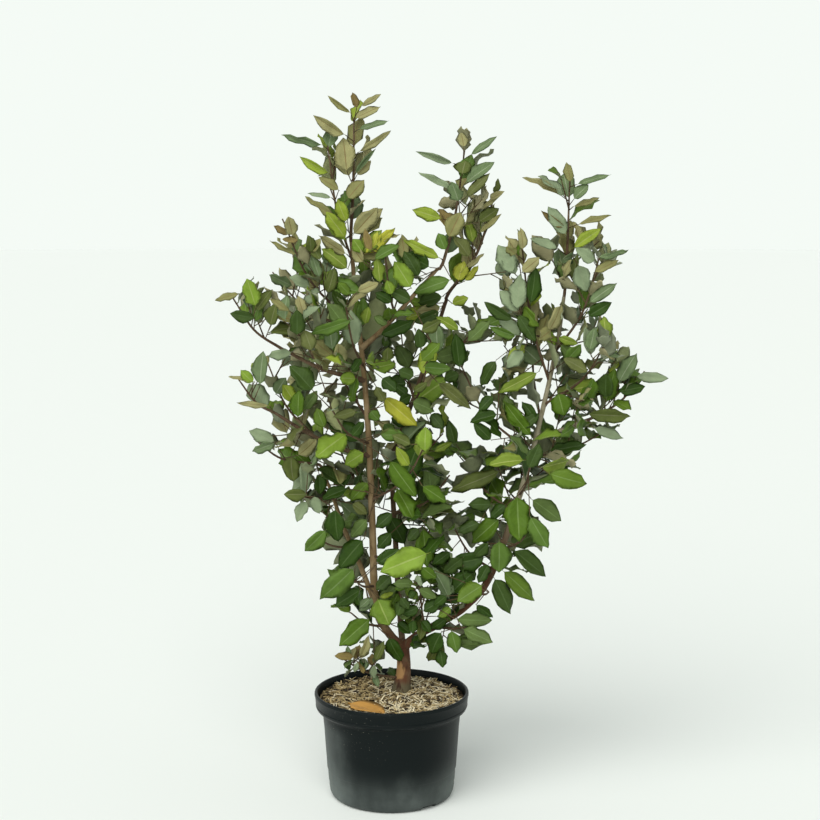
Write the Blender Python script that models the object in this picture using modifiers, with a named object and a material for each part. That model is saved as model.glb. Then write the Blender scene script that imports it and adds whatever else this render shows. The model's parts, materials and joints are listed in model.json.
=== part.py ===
# A potted ebbinge silverberry, about one metre tall, in a round nursery pot.
# The origin is the middle of the pot's flat underside, +X runs along the wider side of the
# crown and +Z points up. The trunk forks just above the compost. Stems and boughs are tapering
# limbs, and each mass of foliage is one solid of twigs and leaves that grows from its limb.

import math
import random

import bmesh
import bpy
from mathutils import Matrix, Vector
from mathutils.bvhtree import BVHTree

# Sizes of the pot and its filling

GAP = 0.0003
FLAT_ANGLE = math.radians(0.05)
SHARP_ANGLE = math.radians(35)
TURN_STEPS = 32
POT_HEIGHT = 0.1495
RIM_RADIUS = 0.109
BAND_FOOT = 0.1265
WALL_TOP_RADIUS = 0.0974
WALL_FOOT_RADIUS = 0.0915
FOOT_RADIUS = 0.0885
FOOT_HEIGHT = 0.040
STANDING_RADIUS = 0.080
WALL = 0.0020
FLOOR = 0.0025
SOIL_TOP = 0.1375
NOTCH_WIDTH = 0.023
NOTCH_HEIGHT = 0.006
NOTCH_BEARING = 52
NOTCH_COUNT = 3
DRAIN_RADIUS = 0.0055
DRAIN_RING = 0.052
DRAIN_COUNT = 6

# Rules of growth

GOLDEN_ANGLE = math.radians(137.5)
LEAF_SCALE = 1.28
LEAF_SPACING = 0.78
LOW_SPACING = 0.58
LOW_CROWN = 0.56
TUFT = (0.55, 0.78, 0.78)
TWIG_RADIUS = 0.0014
TWIG_TIP_RADIUS = 0.0009
STALK_RADIUS = 0.0005
STEM_RADIUS = 0.0020
STEM_SHARE = 0.7
STEM_TIP_RADIUS = 0.0012
STEM_STEP = 0.040
FINE_STEP = 0.004
STEM_LEAD = 0.010
LEAF_WIDTH = 0.50
LEAF_WIDEST = 0.38
LEAF_KEEL = 0.010
LEAF_NARROWS = 0.72
SIZE_VARIES = 0.08
TURN_VARIES = 0.35
TILT_VARIES = 0.25
SPREAD = 58
SPREAD_BY_LIFT = 14
SPREAD_VARIES = 8
LEAF_TRIES = 7
NEXT_TURN = 0.9
NEXT_SIZE = 0.05
TWIG_TRIES = 4
TWIG_LENGTH = 1.0
TWIG_BARE = 0.014
TWIG_LEAF = 0.88
TWIG_TIP_LEAF = 0.75
ROOT_SINK = 0.002
TWIGGY_SHARE = 0.75
CLEARANCE = 0.0006
OVERHANG = 0.010
DROOP_HEIGHT = 0.24
LIFT_HEIGHT = 0.80
LEADER_WINDOW = 0.011
LEAF_FLOOR = 0.155

# The trunk and the limbs. Each has its route, its radius at the base and at the tip, and the limb
# and height that it leaves. The three stems leave the trunk's fork.

TRUNK = {"route": [(0.012, 0.020, 0.128), (0.017, 0.021, 0.172), (0.016, 0.024, 0.204)],
         "radii": (0.0106, 0.0092), "flare": 0.0090, "flare_height": 0.009}
STUB = 0.016
STUB_STEP = 0.010

LIMBS = {
    "left_leader": {"from": ("trunk", 0.204), "radii": (0.0060, 0.0026), "route": [
        (-0.004, 0.016, 0.228), (-0.022, 0.004, 0.270), (-0.026, -0.012, 0.380), (-0.030, -0.020, 0.500),
        (-0.037, -0.018, 0.600), (-0.048, -0.008, 0.700), (-0.054, -0.004, 0.780)]},
    "middle_stem": {"from": ("trunk", 0.204), "radii": (0.0044, 0.0026), "route": [
        (0.012, 0.038, 0.246), (0.006, 0.050, 0.340), (0.001, 0.052, 0.469), (0.018, 0.050, 0.522),
        (0.042, 0.044, 0.592), (0.077, 0.035, 0.700)]},
    "right_stem": {"from": ("trunk", 0.204), "radii": (0.0060, 0.0024), "route": [
        (0.036, 0.020, 0.223), (0.072, 0.012, 0.246), (0.106, 0.008, 0.270), (0.140, 0.004, 0.316),
        (0.181, 0.000, 0.436), (0.208, 0.002, 0.541), (0.230, 0.006, 0.645), (0.238, 0.008, 0.705)]},
    "low_left_bough": {"from": ("left_leader", 0.272), "radii": (0.0040, 0.0022), "route": [
        (-0.044, 0.000, 0.330), (-0.065, -0.002, 0.380), (-0.084, -0.003, 0.436), (-0.096, -0.004, 0.464)]},
    "lower_left_bough": {"from": ("left_leader", 0.488), "radii": (0.0034, 0.0021), "route": [
        (-0.065, -0.028, 0.498), (-0.111, -0.034, 0.520), (-0.150, -0.040, 0.545)]},
    "mid_left_bough": {"from": ("left_leader", 0.592), "radii": (0.0034, 0.0021), "route": [
        (-0.084, -0.034, 0.606), (-0.110, -0.044, 0.618), (-0.142, -0.050, 0.636)]},
    "second_peak_bough": {"from": ("left_leader", 0.636), "radii": (0.0036, 0.0024), "route": [
        (-0.009, -0.016, 0.664), (0.029, -0.012, 0.706), (0.064, -0.006, 0.744)]},
    "far_right_bough": {"from": ("right_stem", 0.512), "radii": (0.0032, 0.0021), "route": [
        (0.234, -0.004, 0.521), (0.270, -0.008, 0.536)]},
}

# The masses of foliage. Each has the limb that carries it, the height on the limb, or None for its
# tip, the length of its leaves and the place of its stem's tip. The stem bows out and then up.

BOW_OUT = 0.66
BOW_UP = 0.46

MASSES = {
    "top_foliage": ("left_leader", None, 0.064, (-0.050, 0.000, 0.934)),
    "top_left_foliage": ("left_leader", 0.752, 0.057, (-0.083, -0.020, 0.898)),
    "upper_left_foliage": ("left_leader", 0.664, 0.054, (-0.140, -0.046, 0.802)),
    "upper_side_foliage": ("left_leader", 0.655, 0.057, (-0.158, 0.034, 0.730)),
    "mid_left_foliage": ("mid_left_bough", None, 0.052, (-0.203, -0.070, 0.698)),
    "mid_front_foliage": ("mid_left_bough", 0.610, 0.057, (-0.112, -0.122, 0.674)),
    "lower_left_foliage": ("lower_left_bough", None, 0.057, (-0.198, -0.054, 0.588)),
    "lower_rise_foliage": ("lower_left_bough", 0.516, 0.062, (-0.166, 0.012, 0.600)),
    "low_left_foliage": ("low_left_bough", None, 0.059, (-0.180, -0.014, 0.504)),
    "low_side_foliage": ("low_left_bough", 0.425, 0.054, (-0.128, -0.051, 0.440)),
    "low_drop_foliage": ("low_left_bough", 0.355, 0.058, (-0.092, -0.042, 0.372)),
    "low_foot_foliage": ("low_left_bough", 0.306, 0.060, (-0.074, -0.024, 0.314)),
    "low_back_foliage": ("low_left_bough", 0.350, 0.064, (-0.082, 0.081, 0.404)),
    "foot_left_foliage": ("left_leader", 0.300, 0.060, (-0.046, -0.066, 0.322)),
    "fork_foliage": ("left_leader", 0.238, 0.059, (-0.050, -0.028, 0.264)),
    "base_shoot": ("trunk", 0.160, 0.036, (-0.060, -0.014, 0.194)),
    "centre_front_foliage": ("left_leader", 0.425, 0.059, (0.042, -0.104, 0.508)),
    "left_front_foliage": ("left_leader", 0.505, 0.057, (-0.072, -0.120, 0.558)),
    "upper_front_foliage": ("left_leader", 0.612, 0.062, (-0.056, -0.107, 0.688)),
    "upper_back_foliage": ("left_leader", 0.628, 0.064, (-0.020, 0.099, 0.706)),
    "left_back_foliage": ("left_leader", 0.540, 0.064, (-0.092, 0.135, 0.642)),
    "left_low_back_foliage": ("left_leader", 0.420, 0.064, (-0.086, 0.127, 0.508)),
    "left_inner_foliage": ("second_peak_bough", 0.680, 0.059, (-0.006, -0.057, 0.756)),
    "second_peak_foliage": ("second_peak_bough", None, 0.059, (0.099, 0.000, 0.896)),
    "middle_top_foliage": ("middle_stem", None, 0.055, (0.142, 0.020, 0.846)),
    "middle_right_foliage": ("middle_stem", 0.610, 0.057, (0.106, 0.010, 0.650)),
    "middle_front_foliage": ("middle_stem", 0.545, 0.064, (0.052, -0.088, 0.642)),
    "middle_back_foliage": ("middle_stem", 0.560, 0.064, (0.014, 0.156, 0.636)),
    "middle_inner_foliage": ("middle_stem", 0.462, 0.062, (0.064, 0.014, 0.506)),
    "low_middle_foliage": ("middle_stem", 0.360, 0.068, (0.022, 0.164, 0.432)),
    "centre_low_foliage": ("left_leader", 0.345, 0.064, (0.024, -0.078, 0.350)),
    "centre_rise_foliage": ("middle_stem", 0.392, 0.062, (0.074, -0.046, 0.458)),
    "centre_inner_foliage": ("middle_stem", 0.300, 0.064, (0.060, -0.004, 0.404)),
    "centre_foot_foliage": ("right_stem", 0.232, 0.044, (0.040, -0.039, 0.304)),
    "right_top_foliage": ("right_stem", None, 0.055, (0.244, 0.008, 0.862)),
    "right_inner_foliage": ("right_stem", 0.588, 0.056, (0.178, -0.024, 0.770)),
    "right_outer_foliage": ("right_stem", 0.630, 0.050, (0.280, -0.018, 0.750)),
    "right_mid_foliage": ("right_stem", 0.556, 0.055, (0.286, -0.048, 0.640)),
    "far_right_foliage": ("far_right_bough", None, 0.059, (0.342, -0.004, 0.594)),
    "right_low_foliage": ("right_stem", 0.480, 0.059, (0.296, 0.048, 0.510)),
    "right_left_foliage": ("right_stem", 0.488, 0.052, (0.100, 0.014, 0.604)),
    "right_inside_foliage": ("right_stem", 0.405, 0.059, (0.110, 0.020, 0.468)),
    "right_front_foliage": ("right_stem", 0.430, 0.064, (0.186, -0.096, 0.492)),
    "right_back_foliage": ("right_stem", 0.535, 0.062, (0.202, 0.135, 0.654)),
    "right_rear_foliage": ("right_stem", 0.390, 0.064, (0.192, 0.112, 0.464)),
    "right_drop_foliage": ("right_stem", 0.352, 0.060, (0.188, -0.060, 0.394)),
    "right_foot_foliage": ("right_stem", 0.290, 0.058, (0.132, -0.057, 0.304)),
    "right_hollow_foliage": ("right_stem", 0.322, 0.064, (0.092, 0.000, 0.376)),
    "foot_right_foliage": ("right_stem", 0.238, 0.054, (0.104, -0.046, 0.254)),
}

# Colours, with the roughness of each finish

BLACK_PLASTIC = ((0.014, 0.019, 0.019, 1.0), 0.45)
COMPOST = ((0.235, 0.184, 0.099, 1.0), 0.95)
BARK = ((0.130, 0.098, 0.056, 1.0), 0.80)
GREEN_LEAF = ((0.090, 0.160, 0.034, 1.0), 0.50)
KHAKI_LEAF = ((0.250, 0.245, 0.095, 1.0), 0.60)
SILVER_LEAF = ((0.191, 0.275, 0.162, 1.0), 0.55)


class Path:
    """A smooth route through points in space, read by its length."""

    def __init__(self, points, step=0.012):
        corners = [Vector(p) for p in points]
        ends = [2 * corners[0] - corners[1], *corners, 2 * corners[-1] - corners[-2]]
        self.points = [corners[0]]
        for before, start, end, after in zip(ends, ends[1:], ends[2:], ends[3:]):
            parts = max(1, round((end - start).length / step))
            for k in range(1, parts + 1):
                t = k / parts
                bend = (2 * before - 5 * start + 4 * end - after) * t * t
                twist = (3 * start - before - 3 * end + after) * t ** 3
                self.points.append((2 * start + (end - before) * t + bend + twist) / 2)
        self.measure()

    def measure(self):
        self.lengths = [0.0]
        for a, b in zip(self.points, self.points[1:]):
            self.lengths.append(self.lengths[-1] + (b - a).length)
        self.length = self.lengths[-1]

    def at(self, distance):
        """The point and the direction at this distance from the start."""
        last = len(self.points) - 2
        k = next((i for i in range(last) if self.lengths[i + 1] > distance), last)
        step = self.points[k + 1] - self.points[k]
        along = (distance - self.lengths[k]) / step.length
        return self.points[k] + step * along, step.normalized()

    def distance_at_height(self, height):
        """How far along the route it first reaches a height."""
        for k, (a, b) in enumerate(zip(self.points, self.points[1:])):
            if a.z <= height <= b.z:
                return self.lengths[k] + (b - a).length * (height - a.z) / (b.z - a.z)
        return self.length

    def nearest(self, place):
        """The shortest distance from a place to the route."""
        best = math.inf
        for a, b in zip(self.points, self.points[1:]):
            step = b - a
            t = max(0.0, min(1.0, (place - a).dot(step) / step.length_squared))
            best = min(best, (place - a - step * t).length)
        return best

    def until(self, distance):
        """The start of the route, up to a distance."""
        cut = Path.__new__(Path)
        cut.points = [self.at(distance * k / 4)[0] for k in range(5)]
        cut.measure()
        return cut

    def from_distance(self, distance, step):
        """The rest of the route past a distance, as a route with even steps."""
        rest = self.length - distance
        parts = max(2, round(rest / step))
        cut = Path.__new__(Path)
        cut.points = [self.at(distance + rest * k / parts)[0] for k in range(parts + 1)]
        cut.measure()
        return cut


def clear_start(stem, thick, reach):
    """A stem from where its end is clear. Reach tells how far a disc there stands off the limb."""
    for k in range(400):
        cut = stem.from_distance(0.0002 * k, STEM_STEP)
        if reach(cut.points[0], (cut.points[1] - cut.points[0]).normalized(), thick) >= GAP:
            return cut
    return stem


def leave_tip(limb, stem, thick):
    """A stem that goes on from a limb's flat tip, clear of it by the gap."""
    tip, end = limb.at(limb.length)
    return clear_start(stem, thick, lambda p, d, r: (p - tip).dot(end) - r * d.cross(end).length), thick


def leave_side(limb, along, stem, thick, radius):
    """A stem that leaves a limb's side, clear of it by the gap."""
    way = limb.at(along)[1]
    return clear_start(stem, thick, lambda p, d, r: limb.nearest(p) - r * abs(d.dot(way)) - radius)


def clear_scene():
    for thing in list(bpy.data.objects):
        bpy.data.objects.remove(thing, do_unlink=True)
    for collection in list(bpy.data.collections):
        bpy.data.collections.remove(collection)


def new_collection(name):
    collection = bpy.data.collections.new(name)
    bpy.context.scene.collection.children.link(collection)
    return collection


def material(name, finish):
    colour, roughness = finish
    made = bpy.data.materials.new(name)
    made.use_nodes = True
    made.diffuse_color = colour
    shader = made.node_tree.nodes["Principled BSDF"]
    shader.inputs["Base Color"].default_value = colour
    shader.inputs["Roughness"].default_value = roughness
    shader.inputs["Metallic"].default_value = 0.0
    return made


def place_mesh(name, mesh, collection, finish=None):
    thing = bpy.data.objects.new(name, mesh)
    if finish:
        mesh.materials.clear()
        mesh.materials.append(finish)
    collection.objects.link(thing)
    return thing


def as_guide(thing):
    thing.hide_render = True
    thing.display_type = "WIRE"


def turned(name, profile, collection, finish=None):
    """A solid turned about Z from a profile that runs down its outer side."""
    mesh = bpy.data.meshes.new(name)
    corners = [(radius, 0, z) for radius, z in profile]
    mesh.from_pydata(corners, [(k, k + 1) for k in range(len(profile) - 1)], [])
    thing = place_mesh(name, mesh, collection, finish)
    screw = thing.modifiers.new("Turn", "SCREW")
    screw.axis = "Z"
    screw.steps = TURN_STEPS
    screw.render_steps = TURN_STEPS
    screw.use_merge_vertices = True
    screw.merge_threshold = 0.00005
    return thing


def tube(name, path, radii, collection, finish=None, profile=None):
    """A tapering tube along a route. It has eight sides, or those of a profile curve."""
    curve = bpy.data.curves.new(name, "CURVE")
    curve.dimensions = "3D"
    curve.use_fill_caps = True
    if profile:
        curve.bevel_mode = "OBJECT"
        curve.bevel_object = profile
    else:
        curve.bevel_depth = 1.0
        curve.bevel_resolution = 2
    spline = curve.splines.new("POLY")
    spline.points.add(len(path.points) - 1)
    for point, place, along in zip(spline.points, path.points, path.lengths):
        point.co = (*place, 1)
        point.radius = radii(along)
    drawn = bpy.data.objects.new(name + "_route", curve)
    collection.objects.link(drawn)
    mesh = bpy.data.meshes.new_from_object(drawn.evaluated_get(bpy.context.evaluated_depsgraph_get()))
    bpy.data.objects.remove(drawn)
    tidy = bmesh.new()
    tidy.from_mesh(mesh)
    bmesh.ops.remove_doubles(tidy, verts=tidy.verts, dist=0.00001)
    bmesh.ops.recalc_face_normals(tidy, faces=tidy.faces)
    tidy.to_mesh(mesh)
    tidy.free()
    return place_mesh(name, mesh, collection, finish)


def taper(start, end, length):
    return lambda along: start + (end - start) * along / length


def boolean(thing, operation, solver, operand=None, group=None):
    """Joins or cuts a solid and keeps the result, less any loose scrap or sealed hollow."""
    step = thing.modifiers.new("Join", "BOOLEAN")
    step.operation = operation
    step.solver = solver
    if group:
        step.operand_type = "COLLECTION"
        step.collection = group
    else:
        step.object = operand
    bpy.context.view_layer.objects.active = thing
    bpy.ops.object.modifier_apply(modifier=step.name)
    keep_largest(thing.data)


def keep_largest(mesh):
    tidy = bmesh.new()
    tidy.from_mesh(mesh)
    left = set(tidy.verts)
    islands = []
    while left:
        island, edge = set(), [left.pop()]
        while edge:
            vertex = edge.pop()
            island.add(vertex)
            for link in vertex.link_edges:
                other = link.other_vert(vertex)
                if other in left:
                    left.remove(other)
                    edge.append(other)
        islands.append(island)
    islands.sort(key=len)
    for island in islands[:-1]:
        bmesh.ops.delete(tidy, geom=list(island), context="VERTS")
    bmesh.ops.dissolve_limit(tidy, angle_limit=FLAT_ANGLE, verts=tidy.verts, edges=tidy.edges)
    tidy.to_mesh(mesh)
    tidy.free()


def cut_flat(thing, height):
    """Cuts a solid off level at a height and closes it there."""
    tidy = bmesh.new()
    tidy.from_mesh(thing.data)
    everything = [*tidy.verts, *tidy.edges, *tidy.faces]
    cut = bmesh.ops.bisect_plane(
        tidy, geom=everything, dist=0.000001, plane_co=(0, 0, height), plane_no=(0, 0, 1), clear_inner=True)
    rim = [part for part in cut["geom_cut"] if isinstance(part, bmesh.types.BMEdge)]
    bmesh.ops.contextual_create(tidy, geom=rim)
    bmesh.ops.recalc_face_normals(tidy, faces=tidy.faces)
    tidy.to_mesh(thing.data)
    tidy.free()


def build_pot(collection, cutters):
    outer = [
        (RIM_RADIUS - 0.0015, POT_HEIGHT), (RIM_RADIUS, POT_HEIGHT - 0.0015),
        (RIM_RADIUS, POT_HEIGHT - 0.0045), (RIM_RADIUS - 0.0028, BAND_FOOT),
        (RIM_RADIUS - 0.0075, BAND_FOOT - 0.0025),
        (WALL_TOP_RADIUS + 0.0009, BAND_FOOT - 0.0050), (WALL_TOP_RADIUS, BAND_FOOT - 0.0090),
        (WALL_FOOT_RADIUS, FOOT_HEIGHT), (WALL_FOOT_RADIUS - 0.0008, FOOT_HEIGHT - 0.002),
        (FOOT_RADIUS, 0.013), (FOOT_RADIUS - 0.0022, 0.0045),
        (STANDING_RADIUS, 0.0), (0.0, 0.0)]
    inner = [
        (0.0, FLOOR), (STANDING_RADIUS - 0.0020, FLOOR), (FOOT_RADIUS - WALL - 0.0006, 0.013),
        (WALL_TOP_RADIUS - WALL, BAND_FOOT - 0.0080), (RIM_RADIUS - 0.0056, BAND_FOOT + 0.0006),
        (RIM_RADIUS - 0.0028, POT_HEIGHT - 0.0010)]
    pot = turned("pot", inner + outer, collection, material("Black plastic", BLACK_PLASTIC))
    reach = RIM_RADIUS - STANDING_RADIUS
    for k in range(NOTCH_COUNT):
        bearing = math.radians(-NOTCH_BEARING + 360 * k / NOTCH_COUNT)
        bpy.ops.mesh.primitive_cube_add(size=1)
        notch = bpy.context.object
        middle = STANDING_RADIUS + reach / 2 - 0.003
        shift = Matrix.Translation((middle, 0, NOTCH_HEIGHT / 2 - 0.001))
        size = Matrix.Diagonal((reach, NOTCH_WIDTH, NOTCH_HEIGHT + 0.002, 1))
        notch.matrix_world = Matrix.Rotation(bearing, 4, "Z") @ shift @ size
        cut_with(pot, notch, f"notch_{k + 1}", cutters)
    for k in range(DRAIN_COUNT):
        turn = 2 * math.pi * (k + 0.5) / DRAIN_COUNT
        bpy.ops.mesh.primitive_cylinder_add(
            radius=DRAIN_RADIUS, depth=0.02, vertices=16,
            location=(DRAIN_RING * math.cos(turn), DRAIN_RING * math.sin(turn), 0))
        cut_with(pot, bpy.context.object, f"drain_{k + 1}", cutters)
    return pot, inner


def cut_with(thing, cutter, name, cutters):
    for home in list(cutter.users_collection):
        home.objects.unlink(cutter)
    cutters.objects.link(cutter)
    cutter.name = name
    as_guide(cutter)
    step = thing.modifiers.new(name, "BOOLEAN")
    step.operation = "DIFFERENCE"
    step.object = cutter


def build_soil(inner, collection):
    """The compost fills the pot to its level, clear of the wall by the gap."""
    side = [(radius - GAP, z) for radius, z in inner[1:] if z < SOIL_TOP]
    (low_radius, low), (high_radius, high) = side[-1], (inner[-1][0] - GAP, inner[-1][1])
    top_radius = low_radius + (high_radius - low_radius) * (SOIL_TOP - low) / (high - low)
    side[0] = (side[0][0], FLOOR + GAP)
    profile = [(0.0, SOIL_TOP), (top_radius, SOIL_TOP), *reversed(side), (0.0, FLOOR + GAP)]
    return turned("compost", profile, collection, material("Compost", COMPOST))


def trunk_radius(along):
    start, end = TRUNK["radii"]
    length = TRUNK["route"][-1][2] - TRUNK["route"][0][2]
    flare = TRUNK["flare"] * math.exp(-along / TRUNK["flare_height"])
    return start + (end - start) * along / length + flare


def build_limbs(collection, cutters, bark):
    """The trunk with its forked top, then each limb, cut clear of the one that carries it."""
    paths = {"trunk": Path(TRUNK["route"], 0.010)}
    radii = {"trunk": trunk_radius}
    trunk = tube("trunk", paths["trunk"], trunk_radius, collection, bark)
    stubs = new_collection("stubs")
    limbs = {"trunk": trunk}
    seats = {"trunk": build_seat("trunk", paths["trunk"], trunk_radius, cutters)}
    for name, limb in LIMBS.items():
        parent, height = limb["from"]
        start = paths[parent].at(paths[parent].distance_at_height(height))[0]
        path = Path([start, *limb["route"]], 0.030)
        begin, end = limb["radii"]
        whole = taper(begin, end, path.length)
        if parent == "trunk":
            stub = path.until(STUB)
            tube(name + "_stub", stub, whole, stubs)
            path, thick = leave_tip(stub, path.from_distance(STUB, STUB_STEP), whole(STUB))
            whole = taper(thick, end, path.length)
        paths[name], radii[name] = path, whole
        limbs[name] = tube(name, path, whole, collection, bark)
        seats[name] = build_seat(name, path, whole, cutters)
        if parent != "trunk":
            boolean(limbs[name], "DIFFERENCE", "MANIFOLD", operand=seats[parent])
    boolean(trunk, "UNION", "MANIFOLD", group=stubs)
    cut_flat(trunk, SOIL_TOP + GAP)
    for stub in list(stubs.objects):
        bpy.data.objects.remove(stub)
    bpy.data.collections.remove(stubs)
    return limbs, paths, radii, seats


def build_seat(name, path, radius, cutters):
    """A limb's form swollen by the gap, which cuts whatever grows from its side clear of it."""
    seat = tube(name + "_seat", path, lambda along: radius(along) + GAP, cutters)
    as_guide(seat)
    return seat


def leaf_corners(length, width, swell=0.0):
    """The nine corners of a leaf that lies along X with its face up. Swell widens it for tests."""
    half, keel = width / 2 + swell, LEAF_KEEL * length + STALK_RADIUS
    widest, narrows = LEAF_WIDEST * length, LEAF_NARROWS * length
    return [(0.0, STALK_RADIUS, 0.5 * STALK_RADIUS), (0.0, -STALK_RADIUS, 0.5 * STALK_RADIUS),
            (0.0, 0.0, -STALK_RADIUS),
            (widest, half, 0.0), (widest, -half, 0.0), (widest + 0.04 * length, 0.0, -keel - swell),
            (narrows, 0.86 * half, -0.012 * length), (narrows, -0.86 * half, -0.012 * length),
            (length + swell, 0.0, -0.055 * length)]


LEAF_FACES = [(0, 1, 2), (0, 3, 4, 1), (0, 2, 3), (1, 4, 2), (2, 5, 3), (2, 4, 5),
              (3, 6, 7, 4), (6, 8, 7), (3, 5, 6), (5, 8, 6), (5, 7, 8), (5, 4, 7)]


def leaf_frame(base, axis, face):
    """The matrix that lays a leaf along an axis with its upper face towards a direction."""
    axis = axis.normalized()
    side = face.cross(axis).normalized()
    face = axis.cross(side)
    return Matrix((
        (axis.x, side.x, face.x, base.x), (axis.y, side.y, face.y, base.y),
        (axis.z, side.z, face.z, base.z), (0, 0, 0, 1)))


class Crown:
    """Everything that has grown so far, so that new growth keeps clear of it."""

    def __init__(self, paths):
        self.spaces = {}
        self.solids = []
        self.leader = paths["left_leader"]

    def add(self, owner, corners, faces):
        self.solids.append((owner, *bounds(corners), BVHTree.FromPolygons(corners, faces)))

    def clear_of(self, corners, faces, skipped):
        low, high = bounds(corners)
        tree = None
        for owner, lowest, highest, solid in self.solids:
            if owner in skipped or any(high[k] < lowest[k] or low[k] > highest[k] for k in range(3)):
                continue
            tree = tree or BVHTree.FromPolygons(corners, faces)
            if tree.overlap(solid):
                return False
        return True

    def in_space(self, owner, place):
        """True where a place is nearer to its own stem than to any other, or over by a little."""
        own = self.spaces[owner].nearest(place)
        for name, path in self.spaces.items():
            if name != owner and path.nearest(place) < own - OVERHANG:
                return False
        return place.z > LEAF_FLOOR

    def has_room(self, leaf, owner, carrier):
        """True where a leaf keeps to its mass's space and touches nothing but what carries it."""
        frame, size, width = leaf
        places = [frame @ Vector((size * share, 0, 0)) for share in (0.5, 1.0)]
        if any(self.hides_leader(place) or not self.in_space(owner, place) for place in places):
            return False
        swollen = [frame @ Vector(c) for c in leaf_corners(size, width, CLEARANCE)]
        shift = frame.to_3x3() @ Vector((0, 0, CLEARANCE))
        return all(self.clear_of([c + shift * way for c in swollen], LEAF_FACES, (owner + carrier,))
                   for way in (-1, 1))

    def hides_leader(self, place):
        """The left leader is bare in front between its lower and upper foliage."""
        if not (0.27 < place.z < 0.44 or 0.50 < place.z < 0.66):
            return False
        on_leader = self.leader.at(self.leader.distance_at_height(place.z))[0]
        return place.y < on_leader.y and abs(place.x - on_leader.x) < LEADER_WINDOW


def bounds(corners):
    return [min(c[k] for c in corners) for k in range(3)], [max(c[k] for c in corners) for k in range(3)]


def around(direction, turn):
    """A direction square to another one, turned about it."""
    side = direction.cross(Vector((0.0, 1.0, 0.001))).normalized()
    return Matrix.Rotation(turn, 3, direction) @ side


def lift_at(height):
    """How far leaves rise or droop at a height: from -1, hanging, to 1, upright."""
    share = (height - DROOP_HEIGHT) / (LIFT_HEIGHT - DROOP_HEIGHT)
    return max(-1.0, min(1.0, 2 * share - 0.75))


def prism_corners(start, end, begin, finish):
    """The corners of a three-sided twig."""
    direction = (end - start).normalized()
    ring = [around(direction, 2 * math.pi * k / 3) for k in range(3)]
    return [start + r * begin for r in ring] + [end + r * finish for r in ring]


PRISM_FACES = [(0, 2, 1), (3, 4, 5), (0, 1, 4), (0, 4, 3), (1, 2, 5), (1, 5, 4), (2, 0, 3), (2, 3, 5)]


class Growth:
    """The side twigs and leaves of one mass, grown by a seeded rule along its stem."""

    def __init__(self, crown, name, leaf_length, seed):
        self.crown = crown
        self.name = name
        self.leaf_length = leaf_length * LEAF_SCALE
        self.rng = random.Random(seed)
        self.turn = self.rng.uniform(0, 2 * math.pi)
        self.leaves = []
        self.twigs = []

    def grow(self, path):
        count = max(2, round(path.length / self.spacing(path.points[-1])))
        for k in range(count):
            share = (k + 0.3) / count
            if share < TWIGGY_SHARE:
                self.side_twig(*path.at(path.length * share), self.leaf_length * (TWIG_LENGTH - 0.4 * share))
            share = (k + 0.75) / count
            self.turn += GOLDEN_ANGLE
            self.leaf(*path.at(path.length * share), self.leaf_length * (1.05 - 0.25 * share), "_stem")
        self.tuft(*path.at(path.length), "_stem")

    def varied(self, value, by):
        return value + self.rng.uniform(-by, by)

    def spacing(self, place):
        """The leaves stand closer together in the lower crown."""
        return (LEAF_SPACING if place.z > LOW_CROWN else LOW_SPACING) * self.leaf_length

    def tuft(self, tip, direction, carrier):
        """The leaves at a tip: a small one that goes on from it and larger ones below."""
        for k, size in enumerate(TUFT):
            self.turn += math.radians(120)
            way = direction * (2 - k) + Vector((0, 0, 0.3))
            base = tip - direction * (ROOT_SINK + 0.003 * k)
            self.leaf(base, way.normalized(), self.leaf_length * size, carrier)

    def leaf(self, base, direction, length, carrier):
        """One leaf on its carrier, tried at a few turns and sizes and skipped where none has room."""
        lift = lift_at(base.z)
        for k in range(LEAF_TRIES):
            size = length * (1 - NEXT_SIZE * k) * self.varied(1, SIZE_VARIES)
            outward = around(direction, self.turn + self.varied(NEXT_TURN * k, TURN_VARIES))
            spread = math.radians(self.varied(SPREAD - SPREAD_BY_LIFT * lift, SPREAD_VARIES))
            axis = direction * math.cos(spread) + outward * math.sin(spread)
            axis.z += self.varied(0.35 * lift, 0.1)
            axis.normalize()
            face = direction * (0.6 + 0.4 * lift) + Vector((0, 0, 0.7 - 0.4 * lift)) - outward * 0.2
            tilt = around(axis, self.varied(math.pi, math.pi)) * TILT_VARIES
            leaf = leaf_frame(base, axis, face + tilt), size, size * LEAF_WIDTH * self.varied(1, SIZE_VARIES)
            if self.crown.has_room(leaf, self.name, carrier):
                self.leaves.append(leaf)
                self.crown.add(self.name, *leaf_solid(leaf))
                return True
        return False

    def side_twig(self, base, direction, length):
        """A side twig with its leaves. It is dropped where it or all of its leaves have no room."""
        for k in range(TWIG_TRIES):
            outward = around(direction, self.turn + math.pi + 1.1 * k)
            way = (direction * 0.75 + outward + Vector((0, 0, 0.2))).normalized()
            end = base + way * length * self.varied(1, SIZE_VARIES)
            if not self.crown.in_space(self.name, end) or self.crown.hides_leader(end):
                continue
            swollen = prism_corners(base, end, TWIG_RADIUS + CLEARANCE, TWIG_TIP_RADIUS + CLEARANCE)
            if not self.crown.clear_of(swollen, PRISM_FACES, (self.name + "_stem",)):
                continue
            onward = (way * 3 + around(way, self.turn)).normalized()
            self.crown.add(self.name + "_twig", *twig_solid(base, end))
            if self.leaf(end - way * ROOT_SINK, onward, self.leaf_length * TWIG_TIP_LEAF, "_twig"):
                self.twigs.append((base, end))
                self.along_twig(base, way, length)
                return
            self.crown.solids.pop()

    def along_twig(self, base, way, length):
        count = max(1, round((length - TWIG_BARE) / self.spacing(base)))
        for k in range(count):
            self.turn += GOLDEN_ANGLE
            place = base + way * (TWIG_BARE + (length * 0.85 - TWIG_BARE) * (k + 0.5) / count)
            self.leaf(place, way, self.leaf_length * TWIG_LEAF, "_twig")


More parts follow.
